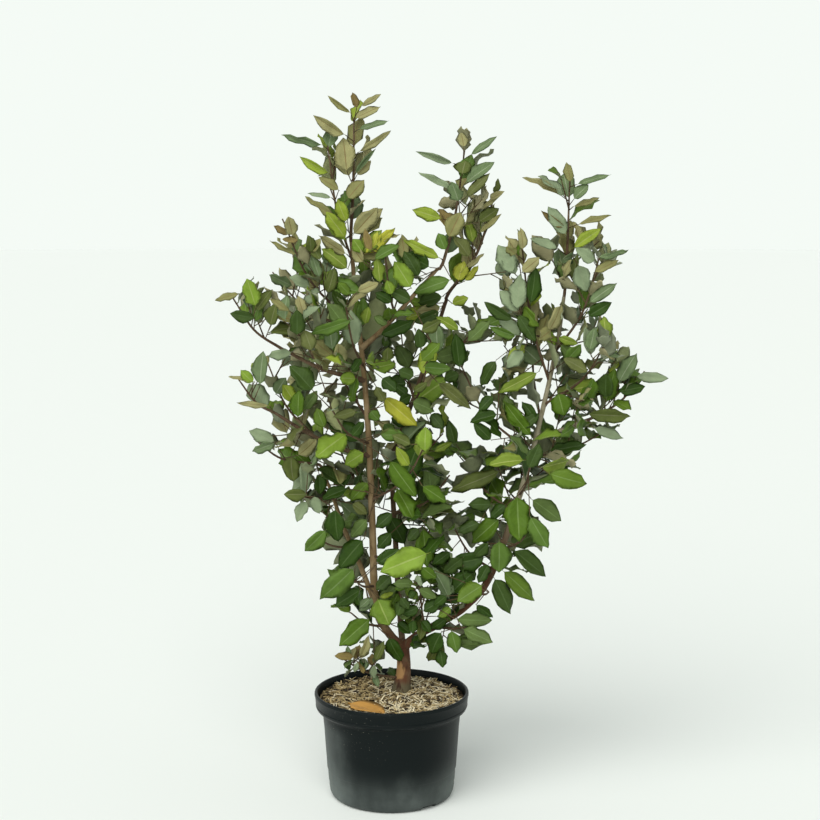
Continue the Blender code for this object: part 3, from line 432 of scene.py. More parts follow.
notableLeaves = {
    "peakTip": ((357, 109), (354, 92), 8, "bronze"),
    "peakLeft": ((352, 114), (327, 96), 6, "khaki"),
    "peakRight": ((360, 107), (381, 94), 6, "khaki"),
    "peakWavy": ((354, 119), (380, 105), 10, "khaki"),
    "peakPale": ((357, 130), (389, 119), 7, "silver"),
    "peakLong": ((347, 136), (312, 117), 11, "khaki"),
    "peakLowest": ((325, 146), (281, 134), 8, "silver"),
    "peakFront": ((347, 173), (343, 137), 20, "khaki"),
    "peakOlive": ((357, 153), (392, 132), 8, "khaki"),
    "peakYellow": ((331, 174), (298, 158), 9, "yellowGreen"),
    "leaderKhaki": ((347, 200), (363, 179), 16, "khaki"),
    "leaderYellow": ((347, 240), (326, 211), 15, "yellowGreen"),
    "leaderRight": ((352, 234), (382, 207), 16, "khaki"),
    "bronzeTip": ((293, 237), (288, 216), 13, "khaki"),
    "bronzeSide": ((290, 235), (273, 226), 7, "bronze"),
    "freshLeft": ((349, 270), (324, 247), 16, "yellowGreen"),
    "yellowRight": ((363, 255), (396, 230), 12, "yellow"),
    "secondTip": ((464, 148), (462, 132), 11, "khaki"),
    "secondSilver": ((455, 164), (417, 152), 7, "silver"),
    "secondPale": ((469, 156), (497, 136), 7, "silver"),
    "secondKhaki": ((462, 175), (465, 160), 18, "olive"),
    "secondBroad": ((464, 184), (494, 161), 13, "silver"),
    "secondOlive": ((465, 198), (489, 173), 10, "olive"),
    "secondLeft": ((456, 191), (418, 173), 7, "silver"),
    "secondLight": ((443, 219), (413, 210), 13, "yellowGreen"),
    "secondLow": ((448, 239), (461, 212), 18, "khaki"),
    "secondYellow": ((473, 244), (470, 219), 12, "yellowGreen"),
    "midKhaki": ((470, 258), (456, 236), 14, "olive"),
    "midLong": ((442, 259), (403, 241), 11, "yellowGreen"),
    "midYellow": ((458, 282), (463, 261), 16, "yellow"),
    "midDeep": ((431, 268), (405, 253), 18, "deep"),
    "midGreen": ((453, 279), (413, 291), 16, "mid"),
    "midBronze": ((466, 343), (491, 321), 14, "mid"),
    "midTall": ((460, 370), (455, 333), 16, "deep"),
    "rightTip": ((571, 183), (566, 163), 10, "khaki"),
    "rightPale": ((575, 185), (611, 173), 7, "silver"),
    "rightOlive": ((562, 196), (524, 175), 8, "khaki"),
    "rightBroad": ((567, 236), (549, 207), 15, "silver"),
    "rightKhaki": ((523, 251), (523, 229), 10, "khaki"),
    "rightFacing": ((514, 274), (498, 245), 18, "silver"),
    "rightUpright": ((517, 311), (519, 275), 18, "silver"),
    "rightDeep": ((530, 306), (538, 268), 16, "deep"),
    "rightFresh": ((572, 249), (601, 228), 12, "yellowGreen"),
    "rightDrop": ((578, 263), (586, 292), 17, "silver"),
    "rightOuter": ((588, 304), (616, 282), 12, "silver"),
    "rightDown": ((517, 313), (536, 342), 14, "deep"),
    "rightGreen": ((559, 343), (581, 367), 13, "mid"),
    "farTip": ((634, 376), (669, 379), 11, "silver"),
    "farUp": ((618, 384), (635, 352), 17, "silver"),
    "farDeep": ((617, 392), (646, 386), 13, "deep"),
    "farGreen": ((606, 399), (605, 374), 20, "deep"),
    "farWavy": ((585, 414), (631, 417), 14, "olive"),
    "farLow": ((547, 451), (587, 445), 13, "deep"),
    "farOlive": ((558, 392), (564, 416), 22, "fresh"),
    "sideTip": ((240, 293), (215, 300), 7, "khaki"),
    "sideGreen": ((256, 308), (247, 278), 16, "light"),
    "sideDeep": ((256, 318), (230, 314), 12, "deep"),
    "sideKhaki": ((270, 327), (275, 304), 15, "olive"),
    "sideTall": ((297, 337), (297, 309), 15, "deep"),
    "sideSilver": ((260, 387), (262, 351), 16, "silver"),
    "sideFresh": ((298, 419), (298, 390), 16, "fresh"),
    "sideLow": ((314, 392), (292, 365), 19, "deep"),
    "sideFar": ((276, 442), (249, 431), 14, "silver"),
    "sideHang": ((291, 454), (291, 483), 18, "olive"),
    "leaderGreen": ((354, 319), (309, 336), 12, "mid"),
    "leaderMid": ((378, 336), (415, 321), 14, "deep"),
    "leaderPale": ((357, 379), (339, 377), 14, "light"),
    "leaderOlive": ((378, 434), (402, 434), 12, "olive"),
    "centreLight": ((365, 452), (345, 465), 17, "light"),
    "centreYellow": ((381, 395), (417, 427), 18, "yellow"),
    "centreUp": ((425, 453), (425, 427), 16, "light"),
    "centreMid": ((388, 458), (416, 499), 19, "fresh"),
    "centreRight": ((421, 485), (447, 503), 15, "fresh"),
    "centreLong": ((436, 381), (471, 408), 12, "olive"),
    "lowDeep": ((349, 488), (321, 498), 12, "deep"),
    "lowFresh": ((369, 481), (350, 502), 15, "fresh"),
    "lowHang": ((335, 507), (336, 543), 20, "deep"),
    "lowMid": ((327, 529), (305, 552), 16, "mid"),
    "lowBroad": ((365, 538), (337, 568), 22, "deep"),
    "lowLeft": ((356, 566), (321, 602), 24, "mid"),
    "lowLight": ((431, 552), (380, 572), 26, "light"),
    "lowBright": ((377, 597), (389, 626), 26, "light"),
    "lowFront": ((372, 617), (339, 646), 20, "fresh"),
    "lowCentre": ((389, 515), (405, 545), 20, "deep"),
    "rowLight": ((540, 371), (499, 393), 13, "yellowGreen"),
    "rowMid": ((533, 438), (501, 402), 17, "fresh"),
    "rowYellow": ((526, 460), (489, 462), 14, "yellowGreen"),
    "rowFresh": ((528, 470), (540, 444), 15, "deep"),
    "rowRight": ((547, 473), (587, 486), 19, "fresh"),
    "rowLong": ((503, 470), (450, 491), 16, "olive"),
    "hangBright": ((517, 493), (519, 542), 26, "fresh"),
    "hangMid": ((530, 498), (562, 521), 18, "mid"),
    "hangDeep": ((529, 515), (548, 549), 18, "mid"),
    "hangLeft": ((501, 517), (471, 543), 20, "fresh"),
    "hangOlive": ((499, 539), (500, 573), 23, "mid"),
    "hangPoint": ((487, 557), (450, 565), 20, "deep"),
    "hangLow": ((511, 549), (548, 576), 17, "deep"),
    "hangFresh": ((501, 569), (537, 601), 18, "fresh"),
    "hangUnder": ((493, 576), (513, 614), 20, "deep"),
    "hangFoot": ((484, 584), (457, 602), 20, "fresh"),
    "footSilver": ((450, 600), (435, 567), 14, "silver"),
    "footRight": ((454, 619), (493, 622), 15, "mid"),
    "footLower": ((461, 628), (493, 643), 15, "mid"),
    "footLight": ((451, 629), (457, 654), 15, "mid"),
    "footDeep": ((442, 631), (429, 654), 19, "deep"),
    "peakSide": ((340, 191), (320, 176), 10, "khaki"),
    "leaderUp": ((347, 223), (336, 200), 14, "yellowGreen"),
    "leaderLow": ((348, 255), (317, 237), 12, "khaki"),
    "leaderThin": ((344, 225), (306, 195), 7, "khaki"),
    "leaderFar": ((373, 260), (399, 244), 12, "mid"),
    "bronzeBelow": ((311, 253), (311, 237), 11, "olive"),
    "secondGrey": ((459, 203), (452, 181), 15, "silver"),
    "secondRight": ((478, 223), (499, 207), 13, "olive"),
    "midFace": ((412, 289), (395, 262), 18, "light"),
    "midSmall": ((464, 282), (480, 267), 8, "yellow"),
    "midUnder": ((420, 362), (441, 343), 14, "fresh"),
    "gapGreen": ((514, 321), (484, 303), 12, "deep"),
    "gapLow": ((518, 337), (489, 328), 9, "mid"),
    "rightKhakiLow": ((593, 273), (619, 259), 9, "khaki"),
    "rightThin": ((596, 258), (630, 253), 7, "silver"),
    "rightDark": ((587, 317), (611, 302), 13, "deep"),
    "rightSilver": ((589, 352), (596, 329), 15, "silver"),
    "sideMid": ((293, 352), (268, 357), 11, "silver"),
    "sideGrey": ((275, 395), (285, 378), 14, "silver"),
    "sideWarm": ((312, 352), (305, 330), 15, "olive"),
    "leaderGrey": ((358, 410), (333, 419), 11, "olive"),
    "centreSmall": ((410, 467), (396, 448), 11, "yellowGreen"),
    "centreDark": ((456, 445), (448, 421), 12, "deep"),
    "lowDark": ((362, 589), (334, 606), 15, "deep"),
    "lowSmall": ((414, 580), (394, 589), 10, "fresh"),
    "rowDark": ((499, 414), (470, 420), 14, "deep"),
    "shootTip": ((355, 657), (334, 656), 9, "bronze"),
    "shootUp": ((361, 657), (369, 638), 9, "khaki"),
    "shootDark": ((375, 662), (383, 642), 10, "olive"),
    "shootHang": ((375, 664), (373, 680), 8, "silver"),
    "trunkLeaf": ((388, 636), (399, 664), 17, "deep"),
    "shootMid": ((415, 583), (393, 584), 11, "mid"),
    "shootPale": ((417, 574), (420, 588), 7, "silver"),
    "shootSide": ((436, 570), (420, 578), 10, "deep"),
    "shootCross": ((418, 588), (437, 598), 11, "mid"),
    "shootRound": ((441, 601), (423, 611), 14, "deep"),
    "shootFresh": ((420, 607), (402, 614), 12, "deep"),
    "shootSmall": ((413, 619), (413, 634), 10, "deep"),
    "shootGrey": ((421, 620), (431, 632), 10, "deep"),
    "shootDim": ((415, 590), (409, 597), 8, "deep"),
    "shootLight": ((450, 605), (439, 617), 9, "silver"),
    "shootFlat": ((435, 616), (453, 620), 7, "fresh"),
    "shootYellow": ((379, 598), (394, 593), 6, "yellowGreen"),
    "shootBehind": ((376, 565), (393, 552), 13, "deep"),
    "shootInner": ((399, 592), (389, 610), 13, "fresh"),
    "shootInside": ((404, 600), (396, 616), 13, "deep"),
    "footInner": ((455, 585), (440, 596), 13, "silver"),
    "heartDeep": ((421, 350), (418, 328), 13, "deep"),
    "heartMid": ((410, 369), (399, 345), 18, "mid"),
    "heartRight": ((422, 367), (450, 369), 13, "mid"),
    "heartFar": ((460, 373), (444, 380), 13, "deep"),
    "heartGrey": ((408, 383), (385, 385), 19, "deep"),
    "heartBrown": ((387, 362), (388, 347), 13, "olive"),
    "heartSmall": ((413, 392), (427, 384), 9, "olive"),
    "heartBelow": ((411, 401), (435, 410), 17, "mid"),
    "heartDark": ((430, 413), (443, 428), 14, "deep"),
    "heartDusk": ((398, 402), (412, 396), 12, "deep"),
    "heartLeft": ((370, 410), (378, 421), 12, "mid"),
    "heartGreen": ((379, 435), (403, 435), 13, "mid"),
    "upLight": ((347, 242), (325, 214), 13, "light"),
    "upKhaki": ((352, 236), (378, 208), 17, "khaki"),
    "upFresh": ((363, 253), (353, 239), 12, "light"),
    "upYellow": ((380, 284), (378, 258), 12, "yellowGreen"),
    "upWarm": ((364, 263), (352, 248), 12, "khaki"),
    "upDeep": ((420, 278), (404, 252), 17, "deep"),
    "upBrown": ((327, 295), (335, 270), 13, "olive"),
    "upSmall": ((337, 281), (350, 296), 10, "fresh"),
    "upBright": ((392, 295), (388, 281), 11, "light"),
    "upOlive": ((393, 303), (377, 291), 12, "deep"),
    "upTall": ((365, 325), (368, 307), 11, "yellowGreen"),
    "upDark": ((388, 325), (375, 316), 10, "mid"),
    "upLong": ((356, 292), (379, 283), 10, "khaki"),
    "upTuft": ((372, 252), (364, 229), 8, "bronze"),
    "upTuftRight": ((372, 250), (378, 231), 6, "yellow"),
    "peakGrey": ((333, 198), (308, 192), 5, "silver"),
    "peakSilver": ((354, 176), (375, 148), 5, "silver"),
    "peakMid": ((356, 176), (371, 160), 10, "khaki"),
    "leftBronze": ((299, 241), (282, 238), 7, "bronze"),
    "leftThin": ((298, 255), (269, 242), 5, "khaki"),
    "leftPale": ((313, 253), (320, 238), 8, "khaki"),
    "leftSilver": ((320, 279), (312, 256), 10, "silver"),
    "secondThin": ((478, 211), (503, 193), 5, "khaki"),
    "secondWarm": ((478, 234), (501, 214), 6, "khaki"),
    "secondUp": ((460, 273), (485, 254), 5, "khaki"),
    "secondFoot": ((451, 304), (468, 298), 11, "yellowGreen"),
    "secondGreen": ((446, 251), (438, 233), 12, "mid"),
    "secondLast": ((460, 331), (437, 316), 10, "yellowGreen"),
    "rightSmall": ((517, 255), (506, 246), 10, "khaki"),
    "rightMid": ((521, 273), (539, 258), 12, "khaki"),
    "rightFine": ((572, 207), (600, 198), 6, "khaki"),
    "rightWavy": ((576, 225), (611, 213), 6, "khaki"),
    "rightGrey": ((573, 200), (588, 184), 12, "silver"),
    "rightBronze": ((567, 228), (540, 212), 7, "bronze"),
    "rightCross": ((559, 249), (531, 237), 10, "silver"),
    "farGrey": ((592, 428), (625, 437), 12, "silver"),
    "farYellow": ((557, 337), (577, 345), 10, "yellowGreen"),
    "edgePale": ((291, 312), (270, 300), 7, "khaki"),
    "edgeLong": ((271, 406), (237, 404), 6, "khaki"),
    "edgeMid": ((254, 383), (240, 371), 11, "light"),
    "edgeThin": ((256, 382), (228, 375), 5, "khaki"),
    "edgeYellow": ((296, 404), (283, 384), 14, "yellowGreen"),
    "edgeGrey": ((276, 443), (252, 451), 11, "silver"),
    "edgeWarm": ((297, 456), (317, 442), 15, "khaki"),
    "edgeFresh": ((325, 429), (316, 408), 13, "fresh"),
    "edgeUpper": ((350, 295), (339, 283), 10, "fresh"),
    "edgeSilver": ((294, 287), (269, 274), 12, "silver"),
    "lowGrey": ((308, 494), (284, 495), 13, "olive"),
    "lowGreyer": ((307, 500), (296, 521), 12, "silver"),
    "lowPoint": ((314, 495), (317, 514), 13, "silver"),
    "lowOlive": ((319, 474), (321, 495), 13, "deep"),
    "lowSide": ((351, 503), (368, 514), 11, "olive"),
    "lowCross": ((368, 518), (350, 538), 14, "mid"),
    "lowPale": ((370, 598), (360, 608), 9, "silver"),
    "centreWarm": ((433, 452), (453, 443), 8, "yellowGreen"),
    "centreSide": ((412, 445), (392, 435), 11, "olive"),
    "sideDusk": ((492, 441), (475, 423), 13, "deep"),
    "sideDark": ((537, 420), (522, 403), 11, "deep"),
    "sideRound": ((493, 504), (469, 505), 14, "deep"),
    "footPoint": ((440, 648), (443, 668), 12, "deep"),
    "innerDeep": ((393, 512), (376, 528), 14, "deep"),
    "innerLow": ((392, 532), (377, 549), 14, "deep"),
    "underYellow": ((409, 425), (391, 417), 12, "deep"),
    "underRight": ((383, 423), (396, 437), 12, "deep"),
    "heartCore": ((415, 377), (398, 370), 13, "deep"),
    "leftOlive": ((321, 262), (308, 235), 12, "olive"),
    "coreDeep": ((462, 566), (476, 581), 14, "deep"),
    "coreLow": ((420, 528), (407, 540), 13, "deep"),
    "coreRight": ((481, 522), (458, 530), 13, "deep"),
    "coreSide": ((489, 542), (474, 558), 13, "deep"),
    "coreUnder": ((464, 557), (443, 573), 15, "deep"),
    "coreFar": ((489, 563), (478, 583), 12, "deep"),
    "coreUp": ((507, 504), (489, 516), 13, "deep"),
    "coreLeft": ((397, 586), (379, 599), 13, "mid"),
    "heartEdge": ((381, 377), (397, 391), 14, "deep"),
    "heartFoot": ((385, 403), (376, 386), 12, "olive"),
    "heartUpper": ((408, 397), (396, 384), 12, "deep"),
    "leaderSide": ((351, 437), (365, 423), 11, "deep"),
    "leaderSmall": ((351, 373), (362, 358), 10, "deep"),
    "edgeInner": ((303, 411), (317, 391), 12, "mid"),
    "sideInner": ((521, 429), (539, 413), 12, "deep"),
    "boughOlive": ((444, 296), (417, 303), 14, "deep"),
    "boughLow": ((441, 311), (415, 323), 14, "deep"),
    "boughFresh": ((420, 331), (441, 322), 12, "olive"),
    "boughLeft": ((412, 301), (391, 291), 14, "deep"),
    "rightFill": ((589, 373), (565, 357), 14, "olive"),
    "rightFillUp": ((565, 362), (581, 345), 13, "mid"),
    "rightTuft": ((595, 263), (577, 248), 12, "silver"),
    "gapDeep": ((497, 359), (478, 385), 14, "deep"),
    "gapMid": ((494, 395), (479, 411), 12, "deep"),
    "nestRight": ((474, 572), (450, 592), 18, "deep"),
    "nestPale": ((452, 607), (438, 617), 9, "light"),
    "nestEdge": ((475, 604), (493, 618), 10, "deep"),
    "nestFork": ((396, 622), (411, 633), 11, "deep"),
    "nestSmall": ((412, 619), (413, 633), 8, "olive"),
    "nestLow": ((447, 618), (431, 631), 12, "deep"),
    "nestBehind": ((378, 563), (399, 550), 13, "deep"),
    "nestUp": ((451, 551), (433, 566), 13, "deep"),
    "nestLeft": ((392, 575), (376, 590), 14, "deep"),
    "nestGrey": ((373, 597), (360, 611), 12, "silver"),
    "nestMiddle": ((404, 587), (419, 599), 11, "fresh"),
    "nestInner": ((421, 566), (436, 580), 13, "fresh"),
    "nestDark": ((400, 597), (409, 609), 10, "deep"),
    "nestSide": ((447, 595), (434, 607), 11, "deep"),
    "tipStub": ((494, 194), (499, 180), 7, "olive"),
    "tipBeside": ((489, 200), (503, 191), 7, "khaki"),
}

# The crown's ends in the photo: pixel row, left end, right end

crownEnds = [
    (88, 350, 360), (95, 346, 366), (106, 344, 370), (112, 330, 378), (120, 318, 384), (126, 326, 470),
    (134, 300, 488), (146, 320, 490), (157, 304, 492), (163, 320, 576), (180, 322, 590), (190, 314, 596),
    (200, 316, 600), (213, 318, 600), (217, 284, 600), (232, 282, 604), (240, 276, 610), (250, 288, 622),
    (262, 284, 622), (268, 270, 615), (282, 246, 612), (293, 240, 610), (305, 244, 608), (314, 240, 610),
    (321, 266, 610), (334, 284, 615), (346, 284, 632), (352, 254, 640), (366, 250, 645), (376, 250, 655),
    (388, 248, 646), (400, 262, 640), (412, 276, 632), (424, 276, 626), (432, 256, 622), (448, 262, 594),
    (458, 284, 585), (470, 286, 584), (486, 286, 580), (496, 288, 560), (508, 302, 562), (521, 320, 558),
    (536, 318, 545), (549, 308, 550), (560, 330, 535), (576, 334, 540), (596, 330, 530), (606, 340, 515),
    (618, 350, 505), (643, 345, 492), (652, 345, 465), (662, 350, 452), (670, 340, 392),
]
endRows, leftEnds, rightEnds = zip(*crownEnds)
endSlack = 1  # pixels

# Where the photo shows sky inside those ends: the middle and the half width and height, in pixels

skyGaps = {
    "besidePeak": (402, 160, 11, 34),
    "besideLeader": (388, 178, 13, 26),
    "rightOfLeader": (376, 196, 11, 11),
    "underSecond": (404, 208, 18, 22),
    "leftOfSecond": (426, 172, 20, 34),
    "besideTip": (480, 139, 9, 8),
    "besideTipLeft": (446, 144, 9, 10),
    "rightOfSecond": (500, 180, 12, 14),
    "underLight": (428, 233, 13, 10),
    "leftUpper": (278, 365, 12, 9),
    "leftLower": (284, 431, 11, 8),
    "rightLow": (548, 490, 15, 9),
    "betweenShoots": (308, 216, 9, 12),
    "gapTop": (527, 150, 28, 20),
    "gapUpper": (510, 200, 12, 34),
    "gapSide": (530, 208, 22, 20),
    "gapBeside": (545, 222, 8, 18),
    "gapNarrow": (492, 243, 8, 26),
    "gapMiddle": (486, 288, 13, 23),
    "gapFoot": (484, 351, 16, 12),
    "heart": (458, 418, 13, 12),
    "heartLow": (456, 463, 14, 10),
    "leftSide": (322, 378, 12, 8),
    "heartSide": (472, 434, 10, 10),
    "lowMiddle": (464, 495, 22, 6),
    "peakLeft": (341, 108, 9, 10),
    "secondLeft": (452, 143, 8, 12),
    "secondRight": (483, 157, 8, 4),
    "rightPeak": (588, 211, 8, 6),
    "rightTipFront": (573, 173, 8, 11),
    "sideTuft": (305, 233, 6, 9),
    "sideFoot": (288, 262, 6, 10),
    "rightHole": (530, 401, 9, 11),
    "trunkFront": (404, 645, 6, 12),
}


def inView(place):
    # growth keeps within the crown's ends and out of its gaps, as the photo shows them
    u, v = toPixel(place)
    left, right = np.interp(v, endRows, leftEnds), np.interp(v, endRows, rightEnds)
    if v < endRows[0] or not left - endSlack <= u <= right + endSlack:
        return False
    return all(((u - x) / wide) ** 2 + ((v - y) / high) ** 2 > 1 for x, y, wide, high in skyGaps.values())


# Rules of growth, as in the solids but for the life-size leaves and the finer twigs

goldenAngle = math.radians(137.5)
leafSpacing = 0.50  # between leaves along a stem, in leaf lengths
lowSpacing = 0.40
lowCrown = 0.56  # below this height leaves stand closer and are larger
lowGrowth = 1.12
smallLeaves = {"centre_foot_foliage": 0.80, "base_shoot": 0.66}  # shares of the usual leaf length
plainShoots = ("base_shoot",)  # these bear no side twigs
shootSpacing = 1.6
fewestSteps = 3
twigPlace = 0.3  # where a twig and a leaf stand within each step along a stem
leafPlace = 0.75
stemLeaf = 1.1  # the lengths of leaves and twigs are shares of the mass's leaf length
leafShortens = 0.25
tuftSizes = (0.60, 0.85, 0.85)
tuftTurn = math.radians(120)
tuftRise = 0.3
tuftStep = 0.003
twigRadius = 0.0012
twigTipRadius = 0.0007
fineRadius = 0.0008
fineTipRadius = 0.0005
stalkRadius = 0.0005
leafWidth = 0.50
sizeVaries = 0.12
turnVaries = 0.35
tiltVaries = 0.45
spread = 58  # degrees between a leaf and its stem
spreadByLift = 14
spreadVaries = 12
riseByLift = 0.35
riseVaries = 0.1
faceAhead = 0.6  # a leaf's face looks along its stem, up and a little inward
faceUp = 0.7
faceByLift = 0.4
faceInward = 0.2
leafTries = 5
nextTurn = 0.9
nextSize = 0.06
twigTries = 4
nextTwigTurn = 1.1
twigAhead = 0.75
twigRise = 0.2
twigLength = 1.25
twigShortens = 0.4
twigBare = 0.012
twigFull = 0.92  # leaves stand up to this share of a twig
twigLeaf = 0.92
twigTipLeaf = 0.80
tipOnward = 3
fewestOnTwig = 2
fineLength = 0.55
fineLeaf = 0.70
fineLeafPlace = 0.55
fineShares = (0.35, 0.65)
rootSink = 0.002
twiggyShare = 0.85
clearance = 0.0004
overhang = 0.024
droopHeight = 0.24  # leaves hang low in the crown and stand up at its top
liftHeight = 0.80
liftGain = 2
liftLess = 0.75
leaderShows = ((0.27, 0.44), (0.50, 0.66))  # heights at which nothing grows in front of the left leader
leaderWindow = 0.011
leafFloor = 0.155
leafProbes = (0.45, 0.75, 1.0)  # where a leaf and a twig are tested for what they hide
twigProbes = (0.33, 0.66, 1.0)
mostSolids = 9000
solidSides = {"limb": 6, "stem": 4}  # of the plain tubes that leaves keep clear of
turnStart = Vector((0.0, 1.0, 0.001))  # no stem runs just along this

plainLeaf = {"widest": 0.38, "narrows": 0.72, "narrowed": 0.86, "keel": 0.010, "keelAfter": 0.04,
             "sideDrop": 0.012, "tipDrop": 0.055}  # shares of a leaf's length, narrowed of its width
leafFaces = [(0, 1, 2), (0, 3, 4, 1), (0, 2, 3), (1, 4, 2), (2, 5, 3), (2, 4, 5),
             (3, 6, 7, 4), (6, 8, 7), (3, 5, 6), (5, 8, 6), (5, 7, 8), (5, 4, 7)]
prismFaces = [(0, 2, 1), (3, 4, 5), (0, 1, 4), (0, 4, 3), (1, 2, 5), (1, 5, 4), (2, 0, 3), (2, 3, 5)]


def leafCorners(length, width, swell=0.0):
    # a plain leaf along X, which stands for the real one when room is looked for
    half, keel = width / 2 + swell, plainLeaf["keel"] * length + stalkRadius
    widest, narrows = plainLeaf["widest"] * length, plainLeaf["narrows"] * length
    narrowed, drop = plainLeaf["narrowed"] * half, -plainLeaf["sideDrop"] * length
    return [(0.0, stalkRadius, 0.5 * stalkRadius), (0.0, -stalkRadius, 0.5 * stalkRadius),
            (0.0, 0.0, -stalkRadius), (widest, half, 0.0), (widest, -half, 0.0),
            (widest + plainLeaf["keelAfter"] * length, 0.0, -keel - swell),
            (narrows, narrowed, drop), (narrows, -narrowed, drop),
            (length + swell, 0.0, -plainLeaf["tipDrop"] * length)]


def leafFrame(base, axis, face):
    axis = axis.normalized()
    side = face.cross(axis).normalized()
    face = axis.cross(side)
    return Matrix(((axis.x, side.x, face.x, base.x), (axis.y, side.y, face.y, base.y),
                   (axis.z, side.z, face.z, base.z), (0, 0, 0, 1)))


def around(direction, turn):
    # a way square to a direction, at a turn about it
    side = direction.cross(turnStart).normalized()
    return Matrix.Rotation(turn, 3, direction) @ side


def liftAt(height):
    # how far leaves rise or droop at a height: from -1, hanging, to 1, upright
    share = (height - droopHeight) / (liftHeight - droopHeight)
    return max(-1.0, min(1.0, liftGain * share - liftLess))


def prismCorners(start, end, begin, finish):
    direction = (end - start).normalized()
    ring = [around(direction, 2 * math.pi * k / 3) for k in range(3)]
    return [start + r * begin for r in ring] + [end + r * finish for r in ring]


def boxOf(corners):
    points = np.array([tuple(c) for c in corners])
    return points.min(0), points.max(0)


class Crown:
    # everything that has grown so far, so that new growth keeps clear of it
    def __init__(self):
        self.low = np.zeros((mostSolids, 3))
        self.high = np.zeros((mostSolids, 3))
        self.solids = []
        self.names = list(stems)
        routes = [np.array(path.points) for path, _thick in stems.values()]
        self.starts = np.cumsum([0] + [len(route) - 1 for route in routes[:-1]])
        self.begin = np.concatenate([route[:-1] for route in routes])
        self.step = np.concatenate([route[1:] for route in routes]) - self.begin
        self.square = (self.step ** 2).sum(1)
        self.notable = []  # base and tip pixels, half width in pixels and depth

    def add(self, owner, corners, faces):
        count = len(self.solids)
        self.low[count], self.high[count] = boxOf(corners)
        self.solids.append((owner, BVHTree.FromPolygons(corners, faces)))

    def clearOf(self, corners, faces, skipped):
        low, high = boxOf(corners)
        count = len(self.solids)
        close = (self.low[:count] <= high).all(1) & (self.high[:count] >= low).all(1)
        tree = None
        for k in np.nonzero(close)[0]:
            owner, solid = self.solids[k]
            if owner == skipped:
                continue
            tree = tree or BVHTree.FromPolygons(corners, faces)
            if tree.overlap(solid):
                return False
        return True

    def inSpace(self, owner, place):
        # a mass keeps to the space nearest its own stem, give or take the overhang
        away = np.array(place) - self.begin
        share = np.clip((away * self.step).sum(1) / self.square, 0.0, 1.0)
        gaps = np.sqrt(((away - self.step * share[:, None]) ** 2).sum(1))
        nearest = np.minimum.reduceat(gaps, self.starts)
        return place.z > leafFloor and nearest[self.names.index(owner)] - overhang <= nearest.min()

    def hasRoom(self, leaf, owner, carrier):
        frameOf, size, width = leaf
        for share in leafProbes:
            place = frameOf @ Vector((size * share, 0, 0))
            if hidesLeader(place) or self.hidesNotable(place) or not inView(place):
                return False
            if not self.inSpace(owner, place):
                return False
        swollen = [frameOf @ Vector(c) for c in leafCorners(size, width, clearance)]
        return self.clearOf(swollen, leafFaces, owner + carrier)

    def hidesNotable(self, place):
        # rule-grown leaves keep from in front of the leaves that stand out
        u, v = toPixel(place)
        return any(place.y < depth and pixelGap(u, v, base, tip) < half
                   for base, tip, half, depth in self.notable)


def hidesLeader(place):
    if not any(low < place.z < high for low, high in leaderShows):
        return False
    leader = limbPaths["left_leader"]
    onLeader = leader.at(leader.distanceAtHeight(place.z))[0]
    return place.y < onLeader.y and abs(place.x - onLeader.x) < leaderWindow


def leafSolid(leaf):
    frameOf, length, width = leaf
    return [frameOf @ Vector(c) for c in leafCorners(length, width)], leafFaces


kindsByZone = {
    "right": {"silver": 40, "khaki": 24, "olive": 4, "fresh": 10, "mid": 4, "light": 10, "yellowGreen": 8},
    "top": {"khaki": 44, "olive": 12, "yellowGreen": 16, "silver": 14, "bronze": 6, "mid": 8},
    "left": {"khaki": 22, "silver": 28, "mid": 12, "olive": 6, "fresh": 12, "light": 11, "yellowGreen": 9},
    "middle": {"mid": 30, "fresh": 18, "yellowGreen": 10, "light": 12, "olive": 6, "deep": 6, "silver": 8,
               "khaki": 10},
    "low": {"deep": 42, "mid": 32, "fresh": 15, "light": 5, "olive": 6},
    "shoot": {"silver": 34, "khaki": 26, "bronze": 8, "mid": 18, "deep": 14},
}
rightZone = (0.15, 0.60)  # right of this x and above this height
leftZone = (-0.07, 0.40)  # left of this x and above this height
topZone = 0.74
lowZone = 0.47


def zoneOf(place):
    if place.x > rightZone[0] and place.z > rightZone[1]:
        return "right"
    if place.z > topZone:
        return "top"
    if place.x < leftZone[0] and place.z > leftZone[1]:
        return "left"
    return "middle" if place.z > lowZone else "low"


grownLeaves = []  # frame, length, width, kind and mass
grownTwigs = []  # start, end, radius at the start and at the end


